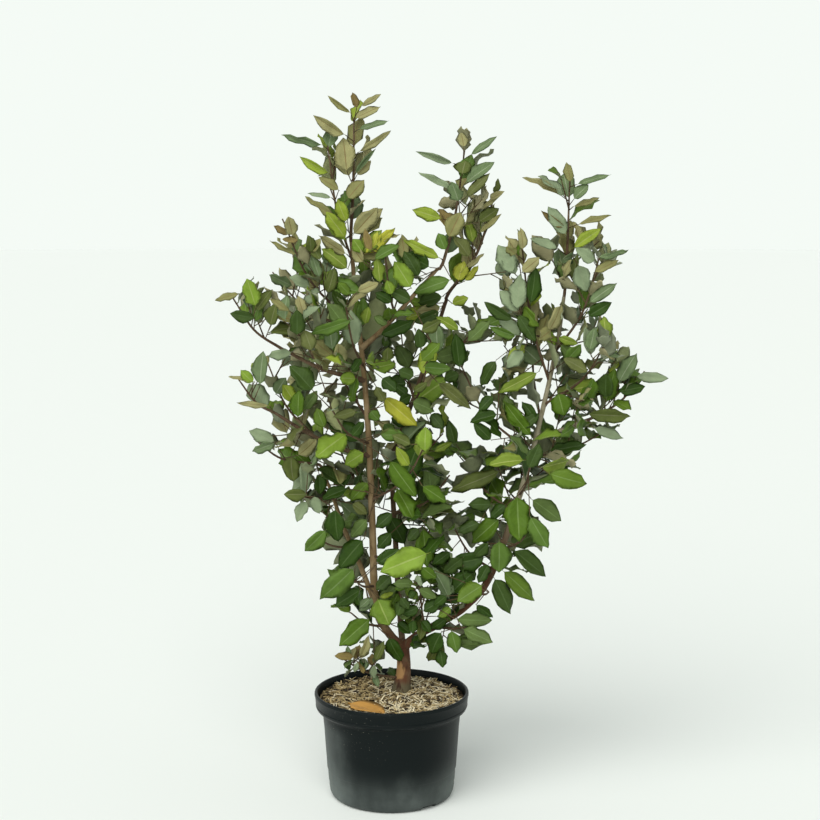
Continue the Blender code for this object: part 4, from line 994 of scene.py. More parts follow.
class Growth:
    # the side twigs and leaves of one mass, grown by a seeded rule along its stem
    def __init__(self, crown, name, leafLength, seed):
        self.crown = crown
        self.name = name
        self.leafLength = leafLength
        self.plain = name in plainShoots
        self.rng = random.Random(seed)
        self.turn = self.rng.uniform(0, 2 * math.pi)

    def grow(self, path):
        thinned = shootSpacing if self.plain else 1.0
        count = max(fewestSteps, round(path.length / self.spacing(path.points[-1]) / thinned))
        for k in range(count):
            share = (k + twigPlace) / count
            if share < twiggyShare and not self.plain:
                length = self.leafLength * (twigLength - twigShortens * share)
                self.sideTwig(*path.at(path.length * share), length)
            share = (k + leafPlace) / count
            self.turn += goldenAngle
            length = self.leafLength * (stemLeaf - leafShortens * share)
            self.leaf(*path.at(path.length * share), length, "_stem")
        self.tuft(*path.at(path.length))

    def varied(self, value, by):
        return value + self.rng.uniform(-by, by)

    def spacing(self, place):
        return (leafSpacing if place.z > lowCrown else lowSpacing) * self.leafLength

    def tuft(self, tip, direction):
        for k, size in enumerate(tuftSizes):
            self.turn += tuftTurn
            way = direction * (len(tuftSizes) - 1 - k) + Vector((0, 0, tuftRise))
            base = tip - direction * (rootSink + tuftStep * k)
            self.leaf(base, way.normalized(), self.leafLength * size, "_stem")

    def leaf(self, base, direction, length, carrier):
        lift = liftAt(base.z)
        length *= lowGrowth if base.z < lowCrown else 1.0
        for k in range(leafTries):
            size = length * (1 - nextSize * k) * self.varied(1, sizeVaries)
            outward = around(direction, self.turn + self.varied(nextTurn * k, turnVaries))
            angle = math.radians(self.varied(spread - spreadByLift * lift, spreadVaries))
            axis = direction * math.cos(angle) + outward * math.sin(angle)
            axis.z += self.varied(riseByLift * lift, riseVaries)
            axis.normalize()
            up = Vector((0, 0, faceUp - faceByLift * lift))
            face = direction * (faceAhead + faceByLift * lift) + up - outward * faceInward
            tilt = around(axis, self.varied(math.pi, math.pi)) * tiltVaries
            leaf = leafFrame(base, axis, face + tilt), size, size * leafWidth * self.varied(1, sizeVaries)
            if self.crown.hasRoom(leaf, self.name, carrier):
                chances = kindsByZone["shoot" if self.plain else zoneOf(base)]
                kind = self.rng.choices(list(chances), list(chances.values()))[0]
                grownLeaves.append((*leaf, kind, self.name))
                self.crown.add(self.name, *leafSolid(leaf))
                return True
        return False

    def sideTwig(self, base, direction, length,
                 radii=(twigRadius, twigTipRadius), carrier="_stem", owner="_twig"):
        for k in range(twigTries):
            outward = around(direction, self.turn + math.pi + nextTwigTurn * k)
            way = (direction * twigAhead + outward + Vector((0, 0, twigRise))).normalized()
            end = base + way * length * self.varied(1, sizeVaries)
            places = [base.lerp(end, share) for share in twigProbes]
            if any(hidesLeader(place) or self.crown.hidesNotable(place) for place in places):
                continue
            if not self.crown.inSpace(self.name, end) or not inView(end):
                continue
            swollen = prismCorners(base, end, radii[0] + clearance, radii[1] + clearance)
            if not self.crown.clearOf(swollen, prismFaces, self.name + carrier):
                continue
            onward = (way * tipOnward + around(way, self.turn)).normalized()
            self.crown.add(self.name + owner, prismCorners(base, end, *radii), prismFaces)
            tipLength = self.leafLength * (fineLeaf if owner == "_fine" else twigTipLeaf)
            if self.leaf(end - way * rootSink, onward, tipLength, owner):
                grownTwigs.append((base, end, *radii))
                self.alongTwig(base, way, (end - base).length, owner)
                return
            self.crown.solids.pop()

    def alongTwig(self, base, way, length, carrier):
        if carrier == "_fine":
            self.turn += goldenAngle
            self.leaf(base + way * length * fineLeafPlace, way, self.leafLength * fineLeaf, carrier)
            return
        count = max(fewestOnTwig, round((length - twigBare) / self.spacing(base)))
        for k in range(count):
            self.turn += goldenAngle
            place = base + way * (twigBare + (length * twigFull - twigBare) * (k + 0.5) / count)
            self.leaf(place, way, self.leafLength * twigLeaf, carrier)
        for share in fineShares:
            self.sideTwig(base + way * length * share, way, self.leafLength * fineLength,
                          (fineRadius, fineTipRadius), carrier, "_fine")


def tubeSolid(path, radius, sides):
    corners = []
    for k, (place, along) in enumerate(zip(path.points, path.lengths)):
        way = (path.points[min(k + 1, len(path.points) - 1)] - path.points[max(k - 1, 0)]).normalized()
        corners += [place + around(way, 2 * math.pi * s / sides) * radius(along) for s in range(sides)]
    return corners, bridged(len(path.points), sides)


crown = Crown()
for name, path in limbPaths.items():
    crown.add(name, *tubeSolid(path, limbRadii[name], solidSides["limb"]))
for name, (path, thick) in stems.items():
    radius = taper(thick, stemTipRadius, path.length)
    crown.add(name + "_stem", *tubeSolid(path, radius, solidSides["stem"]))

# Each leaf that stands out hangs in front of the nearest stem, on a twig of its own

pixelSize = 0.00137  # metres in a pixel at the crown
notableForward = 0.020  # before the nearest stem
notableBefore = 0.012  # before each stem and limb that the leaf covers
behindCost = 60  # pixels for each metre that a stem stands behind the middle
tipForward = (-0.004, 0.012)
anyTurn = 6.28
faceTurn = 0.35
twigChoices = 14
dearestTwig = 1.25  # times the cheapest one's cost
bendCost = 1.7
twigPasses = 0.003  # how near in depth a twig may pass a leaf
passProbes = (0.25, 0.5, 0.75)
notableMargin = 1.0  # pixels that stay free round the leaf
longTwig = 0.026  # a longer one bears leaves of its own

# where the stems and limbs run: pixel, mass and place
stemPixels = [(*toPixel(place), mass, place)
              for mass, (path, _thick) in stems.items() for place in path.points[1:]]
limbPixels = [(*toPixel(place), None, place) for path in limbPaths.values() for place in path.points]


def pixelGap(u, v, base, tip):
    # from a pixel to the line between two others
    run = Vector(tip) - Vector(base)
    share = max(0.0, min(1.0, ((u - base[0]) * run.x + (v - base[1]) * run.y) / run.length_squared))
    return math.hypot(u - base[0] - run.x * share, v - base[1] - run.y * share)


def placeNotable(name, base, tip, width, kind):
    rng = random.Random(name)

    def nearness(row):
        u, v, _mass, place = row
        return math.hypot(u - base[0], v - base[1]) + behindCost * max(0, place.y)

    _u, _v, _mass, nearest = min(stemPixels, key=nearness)
    covered = [place.y - notableBefore for u, v, _mass, place in stemPixels + limbPixels
               if pixelGap(u, v, base, tip) < width / 2]
    depth = min([nearest.y - notableForward, *covered])
    root = atPixel(*base, depth)
    end = atPixel(*tip, depth - rng.uniform(*tipForward))
    axis = end - root
    face = (cameraSpot - root).normalized() + around(axis.normalized(), rng.uniform(0, anyTurn)) * faceTurn

    def cost(row):
        twig = root - row[-1]
        return twig.length * (bendCost - twig.normalized().dot(axis.normalized()))

    def crosses(row):
        # whether a twig from here would run through a leaf that hangs already
        for share in passProbes:
            place = row[-1].lerp(root, share)
            for *line, half, hung in crown.notable:
                if abs(place.y - hung) < twigPasses and pixelGap(*toPixel(place), *line) < half:
                    return True
        return False

    choices = sorted(stemPixels, key=cost)[:twigChoices]
    choices = [row for row in choices if cost(row) <= cost(choices[0]) * dearestTwig]
    _u, _v, mass, start = min(choices, key=crosses)
    leaf = leafFrame(root, axis, face), axis.length, width * pixelSize
    grownTwigs.append((start, root + axis.normalized() * rootSink, fineRadius, fineTipRadius))
    grownLeaves.append((*leaf, kind, mass))
    crown.add(mass + "_notable", *leafSolid(leaf))
    crown.add(mass + "_notable", prismCorners(start, root, fineRadius, fineTipRadius), prismFaces)
    crown.notable.append((base, tip, width / 2 + notableMargin, depth))
    return mass, start, root - start


notableTwigs = [placeNotable(name, *row) for name, row in notableLeaves.items()]
print("notable leaves:", len(grownLeaves))

for seed, (name, (_limb, _height, leafLength, _end)) in enumerate(masses.items(), start=1):
    growth = Growth(crown, name, leafLength * smallLeaves.get(name, 1.0), seed)
    for mass, start, twig in notableTwigs:
        if mass == name and twig.length > longTwig:
            growth.alongTwig(start, twig.normalized(), twig.length, "_notable")
    growth.grow(stems[name][0])
print("leaves:", len(grownLeaves), "twigs:", len(grownTwigs))

# Leaf forms: closed blades along X, one metre long, with a wavy margin, a fold and a bent tip

leafStations = [(0.0, 0.020), (0.09, 0.026), (0.17, 0.52), (0.29, 0.90),
                (0.46, 1.03), (0.64, 0.97), (0.80, 0.70), (0.92, 0.30)]
ribHalf = 0.06
acrossUpper = (-1.0, -0.5, -ribHalf, ribHalf, 0.5, 1.0)
acrossUnder = (-0.5, 0.0, 0.5)
bladeStart = 0.15
bladeThick = 0.012
stalkThick = 0.030
ribSink = 0.004
wavesOut = 1.7  # how many waves the outline has for each one up and down
otherPhase = 1.3  # between the waves of the two margins
waveGrowth = 3  # the waves are full from a third of the length on

leafForms = [
    {"fold": 0.10, "bend": 0.16, "wave": 0.065, "turns": 2.1, "phase": 0.0, "twist": 0.10, "ripple": 0.10},
    {"fold": 0.20, "bend": 0.08, "wave": 0.050, "turns": 2.6, "phase": 1.1, "twist": -0.15, "ripple": 0.14},
    {"fold": 0.06, "bend": 0.26, "wave": 0.077, "turns": 1.9, "phase": 2.3, "twist": 0.20, "ripple": 0.10},
    {"fold": 0.14, "bend": -0.06, "wave": 0.065, "turns": 2.3, "phase": 3.6, "twist": -0.08, "ripple": 0.16},
    {"fold": 0.30, "bend": 0.20, "wave": 0.050, "turns": 2.4, "phase": 4.4, "twist": 0.12, "ripple": 0.13},
    {"fold": 0.04, "bend": 0.12, "wave": 0.083, "turns": 2.2, "phase": 5.2, "twist": -0.22, "ripple": 0.13},
    {"fold": 0.10, "bend": 0.02, "wave": 0.020, "turns": 1.2, "phase": 0.5, "twist": 0.05, "ripple": 0.04},
]
dryForm = len(leafForms) - 1  # the last one is the fallen leaf's


def leafForm(name, shape):
    corners, places, faces, sides = [], [], [], []

    def corner(x, across, half, sink):
        phase = 2 * math.pi * shape["turns"] * x + shape["phase"] + (otherPhase if across < 0 else 0.0)
        grown = min(1.0, waveGrowth * x)
        y = across * half * (1 + shape["ripple"] * grown * math.sin(wavesOut * phase))
        rise = shape["fold"] * abs(across) * half * 2 + shape["wave"] * abs(across) * grown * math.sin(phase)
        rise -= shape["bend"] * x * x + sink
        turn = shape["twist"] * x
        cos, sin = math.cos(turn), math.sin(turn)
        corners.append((x, y * cos - rise * sin, y * sin + rise * cos))
        places.append((0.5 + across / 2, x))
        return len(corners) - 1

    def face(side, *ring):
        faces.append(ring)
        sides.append(side)

    upper, under = [], []
    for x, width in leafStations:
        half = width * leafWidth / 2
        sink, thick = (ribSink, bladeThick) if x > bladeStart else (0.0, stalkThick)
        upper.append([corner(x, a, half, sink if abs(a) <= ribHalf else 0.0) for a in acrossUpper])
        below = [corner(x, a, half, thick) for a in acrossUnder]
        under.append([upper[-1][0], *below, upper[-1][-1]])
    tip = corner(1.0, 0.0, 0.0, 0.0)
    overStrips, underStrips = range(len(upper[0]) - 1), range(len(under[0]) - 1)
    for k in range(len(leafStations) - 1):
        for s in overStrips:
            side = "rib" if s == len(overStrips) // 2 else "upper"
            face(side, upper[k][s], upper[k + 1][s], upper[k + 1][s + 1], upper[k][s + 1])
        for s in underStrips:
            face("under", under[k][s], under[k][s + 1], under[k + 1][s + 1], under[k + 1][s])
    for s in overStrips:
        face("upper", upper[-1][s], tip, upper[-1][s + 1])
    for s in underStrips:
        face("under", under[-1][s], under[-1][s + 1], tip)
    face("under", *upper[0], *reversed(under[0][1:-1]))
    mesh = newMesh(name, corners, faces)
    mesh.shade_smooth()
    layer = mesh.uv_layers.new(name="UVMap")
    for loop in mesh.loops:
        layer.data[loop.index].uv = places[loop.vertex_index]
    for label in ("under", "rib"):
        mark(mesh, label, "BOOLEAN", [side == label for side in sides], "FACE")
    return bpy.data.objects.new(name, mesh)


def formCollection(name, things):
    home = bpy.data.collections.new(name)
    for thing in things:
        home.objects.link(thing)
    return home


forms = formCollection("leafForms", [leafForm(f"leafForm{k}", shape) for k, shape in enumerate(leafForms)])


def scatterTree():
    # shapes from a collection on points, turned and sized by the points' own values
    finishes = {label: "Material" for label in ("Upper", "Other", "Under", "Rib")}
    tree, graph, given = startTree("scatter", {"Forms": "Collection", **finishes})
    shapes = graph.node("GeometryNodeCollectionInfo", {
        "Collection": given["Forms"], "Separate Children": True, "Reset Children": True})
    placed = graph.node("GeometryNodeInstanceOnPoints", {
        "Points": given["Geometry"], "Instance": shapes.outputs[0], "Pick Instance": True,
        "Instance Index": graph.stored("form", "INT"), "Rotation": graph.stored("turn", "FLOAT_VECTOR"),
        "Scale": graph.stored("size", "FLOAT_VECTOR")})
    real = graph.node("GeometryNodeRealizeInstances", {"Geometry": placed.outputs[0]})
    last = real.outputs[0]
    for label in finishes:
        values = {"Geometry": last, "Material": given[label]}
        if label != "Upper":
            values["Selection"] = graph.stored(label.lower(), "BOOLEAN")
        last = graph.node("GeometryNodeSetMaterial", values).outputs[0]
    graph.node("NodeGroupOutput", {"Geometry": last})
    return tree


scatter = scatterTree()


def scattered(name, rows, home, finishes):
    # rows: matrix, size along each axis, form and whether it takes the other shade
    places, sizesOf, formsOf, others = zip(*rows)
    mesh = newMesh(name, [place.translation for place in places])
    mark(mesh, "turn", "FLOAT_VECTOR", [value for place in places for value in place.to_euler()])
    mark(mesh, "size", "FLOAT_VECTOR", [value for size in sizesOf for value in size])
    mark(mesh, "form", "INT", formsOf)
    mark(mesh, "other", "BOOLEAN", others)
    finishes = dict(zip(("Upper", "Other", "Under", "Rib"), finishes))
    return bake(show(name, mesh), scatter, {"Forms": home, **finishes})


leafSurface = {
    "specular": 0.14, "clouds": 60.0, "cloudEdge": (0.35, 0.75), "darker": 0.78,
    "veins": 56.0, "slant": 30.0, "veinRise": 0.5, "grain": 420.0, "grainRise": 0.4,
    "depth": 0.0004, "strength": 0.35}


def leafFinish(name, colour, roughness):
    # one plain colour, a little uneven, with raised side veins
    looks = leafSurface
    made, graph, shader = startMaterial(name, roughness, looks["specular"])
    place = graph.place()
    cloudy = graph.noise(place, looks["clouds"], detail=3.0)
    darker = rgb([value * looks["darker"] for value in colour])
    across, along, _none = graph.axes(graph.place("UV"))
    slanted = (across - 0.5).maths("ABSOLUTE") * looks["slant"]
    ridges = (along * looks["veins"] - slanted).maths("SINE")
    height = ridges * looks["veinRise"] + graph.noise(place, looks["grain"], detail=2.0) * looks["grainRise"]
    colours = graph.blend(cloudy.eased(*looks["cloudEdge"]), rgb(colour), darker)
    graph.surface(shader, colours, height, looks["depth"], looks["strength"])
    return made


leafKinds = {
    "deep": {"upper": (0.028, 0.063, 0.006), "other": (0.040, 0.073, 0.012), "under": (0.170, 0.190, 0.105),
             "rib": (0.062, 0.105, 0.028), "roughness": 0.44, "slot": "green_leaf"},
    "mid": {"upper": (0.083, 0.150, 0.022), "other": (0.098, 0.150, 0.038), "under": (0.190, 0.210, 0.115),
            "rib": (0.130, 0.200, 0.058), "roughness": 0.46, "slot": "green_leaf"},
    "fresh": {"upper": (0.070, 0.133, 0.009), "other": (0.094, 0.158, 0.016), "under": (0.195, 0.220, 0.115),
              "rib": (0.130, 0.200, 0.046), "roughness": 0.46, "slot": "green_leaf"},
    "light": {"upper": (0.180, 0.275, 0.030), "other": (0.150, 0.240, 0.028), "under": (0.220, 0.250, 0.115),
              "rib": (0.255, 0.330, 0.080), "roughness": 0.48, "slot": "green_leaf"},
    "yellowGreen": {"upper": (0.230, 0.300, 0.032), "other": (0.165, 0.230, 0.028),
                    "under": (0.245, 0.265, 0.120), "rib": (0.300, 0.345, 0.090), "roughness": 0.50,
                    "slot": "khaki_leaf"},
    "yellow": {"upper": (0.380, 0.385, 0.038), "other": (0.330, 0.355, 0.040), "under": (0.300, 0.290, 0.080),
               "rib": (0.460, 0.450, 0.100), "roughness": 0.50, "slot": "khaki_leaf"},
    "khaki": {"upper": (0.278, 0.264, 0.115), "other": (0.210, 0.206, 0.075), "under": (0.320, 0.300, 0.165),
              "rib": (0.190, 0.145, 0.055), "roughness": 0.58, "slot": "khaki_leaf"},
    "olive": {"upper": (0.088, 0.112, 0.024), "other": (0.110, 0.127, 0.036), "under": (0.225, 0.225, 0.125),
              "rib": (0.145, 0.160, 0.064), "roughness": 0.54, "slot": "khaki_leaf"},
    "bronze": {"upper": (0.215, 0.165, 0.055), "other": (0.150, 0.110, 0.035), "under": (0.270, 0.225, 0.120),
               "rib": (0.200, 0.140, 0.055), "roughness": 0.55, "slot": "khaki_leaf"},
    "silver": {"upper": (0.128, 0.182, 0.080), "other": (0.215, 0.272, 0.155), "under": (0.270, 0.300, 0.195),
               "rib": (0.225, 0.275, 0.160), "roughness": 0.55, "slot": "silver_leaf"},
}

otherShare = 0.4  # of the leaves and strands take their kind's other shade
underRougher = 0.12
mix = random.Random(7)
for kind, looks in leafKinds.items():
    mine = [leaf for leaf in grownLeaves if leaf[3] == kind]
    finishes = [leafFinish(f"{kind} {side}", looks[side],
                           looks["roughness"] + (underRougher if side == "under" else 0.0))
                for side in ("upper", "other", "under", "rib")]
    rows = [(frameOf, (length, width / leafWidth, length), mix.randrange(dryForm), mix.random() < otherShare)
            for frameOf, length, width, _kind, _mass in mine]
    piece = scattered(kind + "_leaves", rows, forms, finishes)
    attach(piece, "root")
    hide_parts(*sorted({leaf[4] for leaf in mine}))
print("leaves laid out")

# Bark: tubes along routes, with the bark's relief

tubeLooks = {
    "limb": {"Sides": 20, "Relief": 0.0014, "Grain": 110.0},
    "stem": {"Sides": 8, "Relief": 0.0005, "Grain": 160.0},
    "twig": {"Sides": 6, "Relief": 0.0003, "Grain": 200.0},
}
reliefStretch = (1.0, 1.0, 0.35)


def tubeTree():
    tree, graph, given = startTree("tubes", {
        "Sides": "Int", "Relief": "Float", "Grain": "Float", "Finish": "Material"})
    routes = graph.node("GeometryNodeMeshToCurve", {"Mesh": given["Geometry"]})
    ring = graph.node("GeometryNodeCurvePrimitiveCircle", {"Resolution": given["Sides"], "Radius": 1.0})
    swept = graph.node("GeometryNodeCurveToMesh", {
        "Curve": routes.outputs[0], "Profile Curve": ring.outputs[0],
        "Scale": graph.stored("thick", "FLOAT"), "Fill Caps": True})
    place = graph.node("GeometryNodeInputPosition").outputs[0]
    bumps = graph.noise(graph.stretched(place, reliefStretch), given["Grain"], detail=4.0, roughness=0.5)
    push = graph.node("ShaderNodeVectorMath", {
        "Scale": (bumps - 0.5) * graph.wire(given["Relief"])}, operation="SCALE")
    graph.feed(push.inputs[0], graph.node("GeometryNodeInputNormal").outputs[0])
    rough = graph.node("GeometryNodeSetPosition", {"Geometry": swept.outputs[0], "Offset": push.outputs[0]})
    smooth = graph.node("GeometryNodeSetShadeSmooth", {"Geometry": rough.outputs[0]})
    real = graph.node("GeometryNodeRealizeInstances", {"Geometry": smooth.outputs[0]})
    dressed = graph.node("GeometryNodeSetMaterial", {
        "Geometry": real.outputs[0], "Material": given["Finish"]})
    graph.node("NodeGroupOutput", {"Geometry": dressed.outputs[0]})
    return tree


tubes = tubeTree()


def tubed(name, routes, finish, looks):
    # routes: lists of points with their radii
    corners, edges, thick = [], [], []
    for points, radii in routes:
        first = len(corners)
        corners += [tuple(p) for p in points]
        thick += radii
        edges += [(k, k + 1) for k in range(first, len(corners) - 1)]
    mesh = newMesh(name, corners, edges=edges)
    mark(mesh, "thick", "FLOAT", thick)
    return bake(show(name, mesh), tubes, {**looks, "Finish": finish})


def tapered(path, begin, finish):
    radius = taper(begin, finish, path.length)
    return path.points, [radius(along) for along in path.lengths]


redBark = (0.105, 0.044, 0.022)
scar = {"pixel": (398, 669), "colour": (0.330, 0.185, 0.075), "half": (0.0100, 0.0130), "depth": 0.020,
        "ragged": 2.4, "frayed": 1.2, "edge": (0.6, 1.2), "front": (-0.002, 0.004)}
roughBase = {"colour": (0.105, 0.088, 0.048), "heights": (0.156, 0.166), "ragged": 0.010}
barkSurface = {
    "roughness": 0.85, "specular": 0.25, "streaks": 190.0, "stretch": (1.0, 1.0, 0.22),
    "darkEdge": (0.52, 0.74), "patches": 46.0, "paleEdge": (0.42, 0.68), "turnRagged": 0.06,
    "grain": 520.0, "grainRise": 0.5, "depth": 0.0011, "strength": 0.7}


def barkFinish(name, base, pale, dark, turns=None, scarred=False):
    # turns: the heights between which the red-brown of the foot gives way to the base colour
    looks = barkSurface
    made, graph, shader = startMaterial(name, looks["roughness"], looks["specular"])
    place = graph.place()
    x, y, z = graph.axes(place)
    streaks = graph.noise(graph.stretched(place, looks["stretch"]), looks["streaks"], detail=4.0)
    patches = graph.noise(place, looks["patches"], detail=3.0)
    colour = graph.blend(patches.eased(*looks["paleEdge"]), rgb(base), rgb(pale))
    if turns:
        height = z + (patches - 0.5) * looks["turnRagged"]
        colour = graph.blend(height.eased(*turns), rgb(redBark), colour)
    if scarred:
        spot = atPixel(*scar["pixel"], scar["depth"])
        wide, high = (x - spot.x) / scar["half"][0], (z - spot.z) / scar["half"][1]
        away = wide * wide + high * high
        away = away + (patches - 0.5) * scar["ragged"] + (streaks - 0.5) * scar["frayed"]
        front = 1.0 - (y - scar["depth"]).eased(*scar["front"])
        bare = (1.0 - away.eased(*scar["edge"])) * front
        rough = 1.0 - (z + streaks * roughBase["ragged"]).eased(*roughBase["heights"])
        colour = graph.blend(rough, graph.blend(bare, colour, rgb(scar["colour"])), rgb(roughBase["colour"]))
    colour = graph.blend(streaks.eased(*looks["darkEdge"]), colour, rgb(dark))
    height = streaks + graph.noise(place, looks["grain"], detail=2.0) * looks["grainRise"]
    graph.surface(shader, colour, height, looks["depth"], looks["strength"])
    return made


barkKinds = {
    "tan": {"base": (0.195, 0.130, 0.060), "pale": (0.245, 0.175, 0.092), "dark": (0.105, 0.062, 0.028),
            "turns": (0.20, 0.27)},
    "brown": {"base": (0.085, 0.050, 0.028), "pale": (0.140, 0.095, 0.055), "dark": (0.036, 0.020, 0.011)},
    "grey": {"base": (0.230, 0.205, 0.130), "pale": (0.300, 0.275, 0.190), "dark": (0.110, 0.090, 0.050),
             "turns": (0.30, 0.46)},
    "trunk": {"base": redBark, "pale": (0.150, 0.090, 0.048), "dark": (0.040, 0.019, 0.010), "scarred": True},
    "twig": {"base": (0.070, 0.042, 0.020), "pale": (0.120, 0.084, 0.040), "dark": (0.028, 0.016, 0.009)},
}
barks = {kind: barkFinish(kind + " bark", **looks) for kind, looks in barkKinds.items()}

limbBark = {"trunk": "trunk", "left_leader": "tan", "middle_stem": "brown", "right_stem": "grey",
            "low_left_bough": "tan", "lower_left_bough": "brown", "mid_left_bough": "brown",
            "second_peak_bough": "tan", "far_right_bough": "grey"}
collarSwell = 0.35
collarLength = 0.010

for name, path in limbPaths.items():
    swell = collarSwell if name != "trunk" else 0.0
    radii = [limbRadii[name](along) * (1 + swell * math.exp(-along / collarLength)) for along in path.lengths]
    piece = tubed(name + "_bark", [(path.points, radii)], barks[limbBark[name]], tubeLooks["limb"])
    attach(piece, "root")
    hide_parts(name)

stemRoutes = [tapered(path, thick, stemTipRadius) for path, thick in stems.values()]
piece = tubed("stems", stemRoutes, barks["brown"], tubeLooks["stem"])
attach(piece, "root")
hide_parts(*masses)

twigStep = 0.012
twigRoutes = [tapered(Path([start, start.lerp(end, 0.5), end], twigStep), begin, finish)
              for start, end, begin, finish in grownTwigs]
piece = tubed("twigs", twigRoutes, barks["twig"], tubeLooks["twig"])
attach(piece, "root")
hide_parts(*masses)
print("bark laid on")

# The pot, turned from its profile, with notches under its foot and drain holes

potHeight = 0.1495
rimRadius = 0.109
bandFoot = 0.1265
wallTop = 0.0974
wallFoot = 0.0915
footRadius = 0.0885
footHeight = 0.040
standing = 0.080
wall = 0.0020
floorThick = 0.0025
soilTop = 0.1375
notch = {"width": 0.023, "height": 0.006, "bearing": 52, "count": 3, "inward": 0.003, "below": 0.001}
drain = {"radius": 0.0055, "ring": 0.052, "count": 6, "steps": 24, "reach": 0.01,
         "turn": 0.06}  # the turn keeps a hole's corners off the pot's own
turnSteps = 144
weldAcross = 0.00005  # slivers that the cuts leave are closed up
sharpFrom = math.radians(34)

potOuter = [
    (rimRadius - 0.0030, potHeight), (rimRadius - 0.0012, potHeight - 0.0002),
    (rimRadius - 0.0003, potHeight - 0.0010), (rimRadius, potHeight - 0.0022),
    (rimRadius, potHeight - 0.0046), (rimRadius - 0.0006, potHeight - 0.0054),
    (rimRadius - 0.0014, bandFoot + 0.0085), (rimRadius - 0.0021, bandFoot + 0.0052),
    (rimRadius - 0.0015, bandFoot + 0.0046), (rimRadius - 0.0017, bandFoot + 0.0030),
    (rimRadius - 0.0028, bandFoot + 0.0004), (rimRadius - 0.0036, bandFoot - 0.0006),
    (rimRadius - 0.0070, bandFoot - 0.0018), (rimRadius - 0.0092, bandFoot - 0.0032),
    (wallTop + 0.0009, bandFoot - 0.0050), (wallTop + 0.0002, bandFoot - 0.0072),
    (wallTop, bandFoot - 0.0095), (0.0955, 0.098), (0.0940, 0.075), (0.0926, 0.055),
    (wallFoot + 0.0002, footHeight + 0.0010), (wallFoot - 0.0004, footHeight - 0.0002),
    (wallFoot - 0.0010, footHeight - 0.0014), (wallFoot - 0.0014, 0.0300), (wallFoot - 0.0019, 0.0230),
    (wallFoot - 0.0026, 0.0218), (footRadius + 0.0002, 0.0140), (footRadius - 0.0008, 0.0080),
    (footRadius - 0.0026, 0.0038), (standing + 0.0030, 0.0010), (standing, 0.0),
    (0.060, 0.0), (0.046, 0.0), (0.020, 0.0)]
potInner = [
    (0.020, floorThick), (0.046, floorThick), (0.060, floorThick), (standing - 0.0020, floorThick),
    (footRadius - wall - 0.0006, 0.013), (0.0905, 0.055), (0.0925, 0.090),
    (wallTop - wall, bandFoot - 0.0080), (rimRadius - 0.0056, bandFoot + 0.0006), (rimRadius - 0.0048, 0.138),
    (rimRadius - 0.0042, potHeight - 0.0012), (rimRadius - 0.0036, potHeight - 0.0003)]


def turned(name, profile, steps):
    # a closed solid turned about Z; the profile runs from the axis and back to it
    corners = [corner for radius, z in profile for corner in ringOf(radius, steps, z)]
    first, last = tuple(range(steps)), tuple(range(len(corners) - steps, len(corners)))
    mesh = newMesh(name, corners, [*bridged(len(profile), steps), first[::-1], last])
    mesh.shade_smooth()
    return show(name, mesh)


def box(name, middle, size, turn):
    x, y, z = (value / 2 for value in size)
    corners = [(sx * x, sy * y, sz * z) for sx in (-1, 1) for sy in (-1, 1) for sz in (-1, 1)]
    faces = [(0, 1, 3, 2), (4, 6, 7, 5), (0, 4, 5, 1), (2, 3, 7, 6), (0, 2, 6, 4), (1, 5, 7, 3)]
    mesh = newMesh(name, corners, faces)
    mesh.transform(Matrix.Rotation(turn, 4, "Z") @ Matrix.Translation(middle))
    return show(name, mesh)


pot = turned("pot_shell", potInner + potOuter, turnSteps)
pot.data.flip_normals()
cutters = []
for k in range(notch["count"]):
    bearing = math.radians(-notch["bearing"] + 360 * k / notch["count"])
    deep = rimRadius - standing
    middle = (standing + deep / 2 - notch["inward"], 0, notch["height"] / 2 - notch["below"])
    size = (deep, notch["width"], notch["height"] + 2 * notch["below"])
    cutters.append(box(f"notch{k}", middle, size, bearing))
for k in range(drain["count"]):
    angle = 2 * math.pi * (k + 0.5) / drain["count"]
    hole = turned(f"drain{k}", [(drain["radius"], -drain["reach"]), (drain["radius"], drain["reach"])],
                  drain["steps"])
    place = Matrix.Translation((drain["ring"] * math.cos(angle), drain["ring"] * math.sin(angle), 0))
    hole.data.transform(place @ Matrix.Rotation(drain["turn"], 4, "Z"))
    cutters.append(hole)

for cutter in cutters:
    step = pot.modifiers.new("Cut", "BOOLEAN")
    step.operation = "DIFFERENCE"
    step.object = cutter
cut = builtMesh(pot)
welded = bmesh.new()
welded.from_mesh(cut)
bmesh.ops.remove_doubles(welded, verts=welded.verts, dist=weldAcross)
bmesh.ops.dissolve_degenerate(welded, edges=welded.edges, dist=weldAcross)
welded.to_mesh(cut)
welded.free()
pot.data = cut
pot.data.set_sharp_from_angle(angle=sharpFrom)
for cutter in cutters:
    bpy.data.objects.remove(cutter)

# the pale colour below serves both the dust at the foot and the painted highlight down the left side
plastic = {
    "roughness": 0.38, "dustRougher": 0.32, "specular": 0.12, "depth": 0.0003, "strength": 0.35,
    "clean": (0.0028, 0.0054, 0.0056), "dusty": (0.170, 0.196, 0.184), "speck": (0.34, 0.33, 0.27),
    "rings": 2600.0, "ringRise": 0.06, "blotchRise": 0.5, "grain": 900.0}
blotch = {"scale": 30.0, "stretch": (1.0, 1.0, 0.60), "edge": (0.20, 0.70), "share": 0.34, "least": 0.70,
          "ownEdge": (0.52, 0.80), "own": 0.07}
dusty = {"below": (0.100, 0.128), "low": (0.008, 0.078), "left": (0.040, 0.100), "right": (0.045, 0.105),
         "rightBelow": (0.030, 0.110)}  # where the dust at the foot, the painted highlight down the left and the paler lower right fade out, in metres
# the left share is a painted highlight; low, scuffs and specks are dust and wear; right makes the lower right
# paler
dustAndHighlightShares = {"low": 0.38, "left": 0.46, "right": 0.27, "scuffs": 0.26, "specks": 0.6}
scuffed = {"height": 0.1262, "edge": (0.0004, 0.0014), "blotchEdge": (0.44, 0.60)}
specked = {"scale": 480.0, "edge": (0.70, 0.75), "left": (-0.02, 0.05), "above": (0.06, 0.11)}


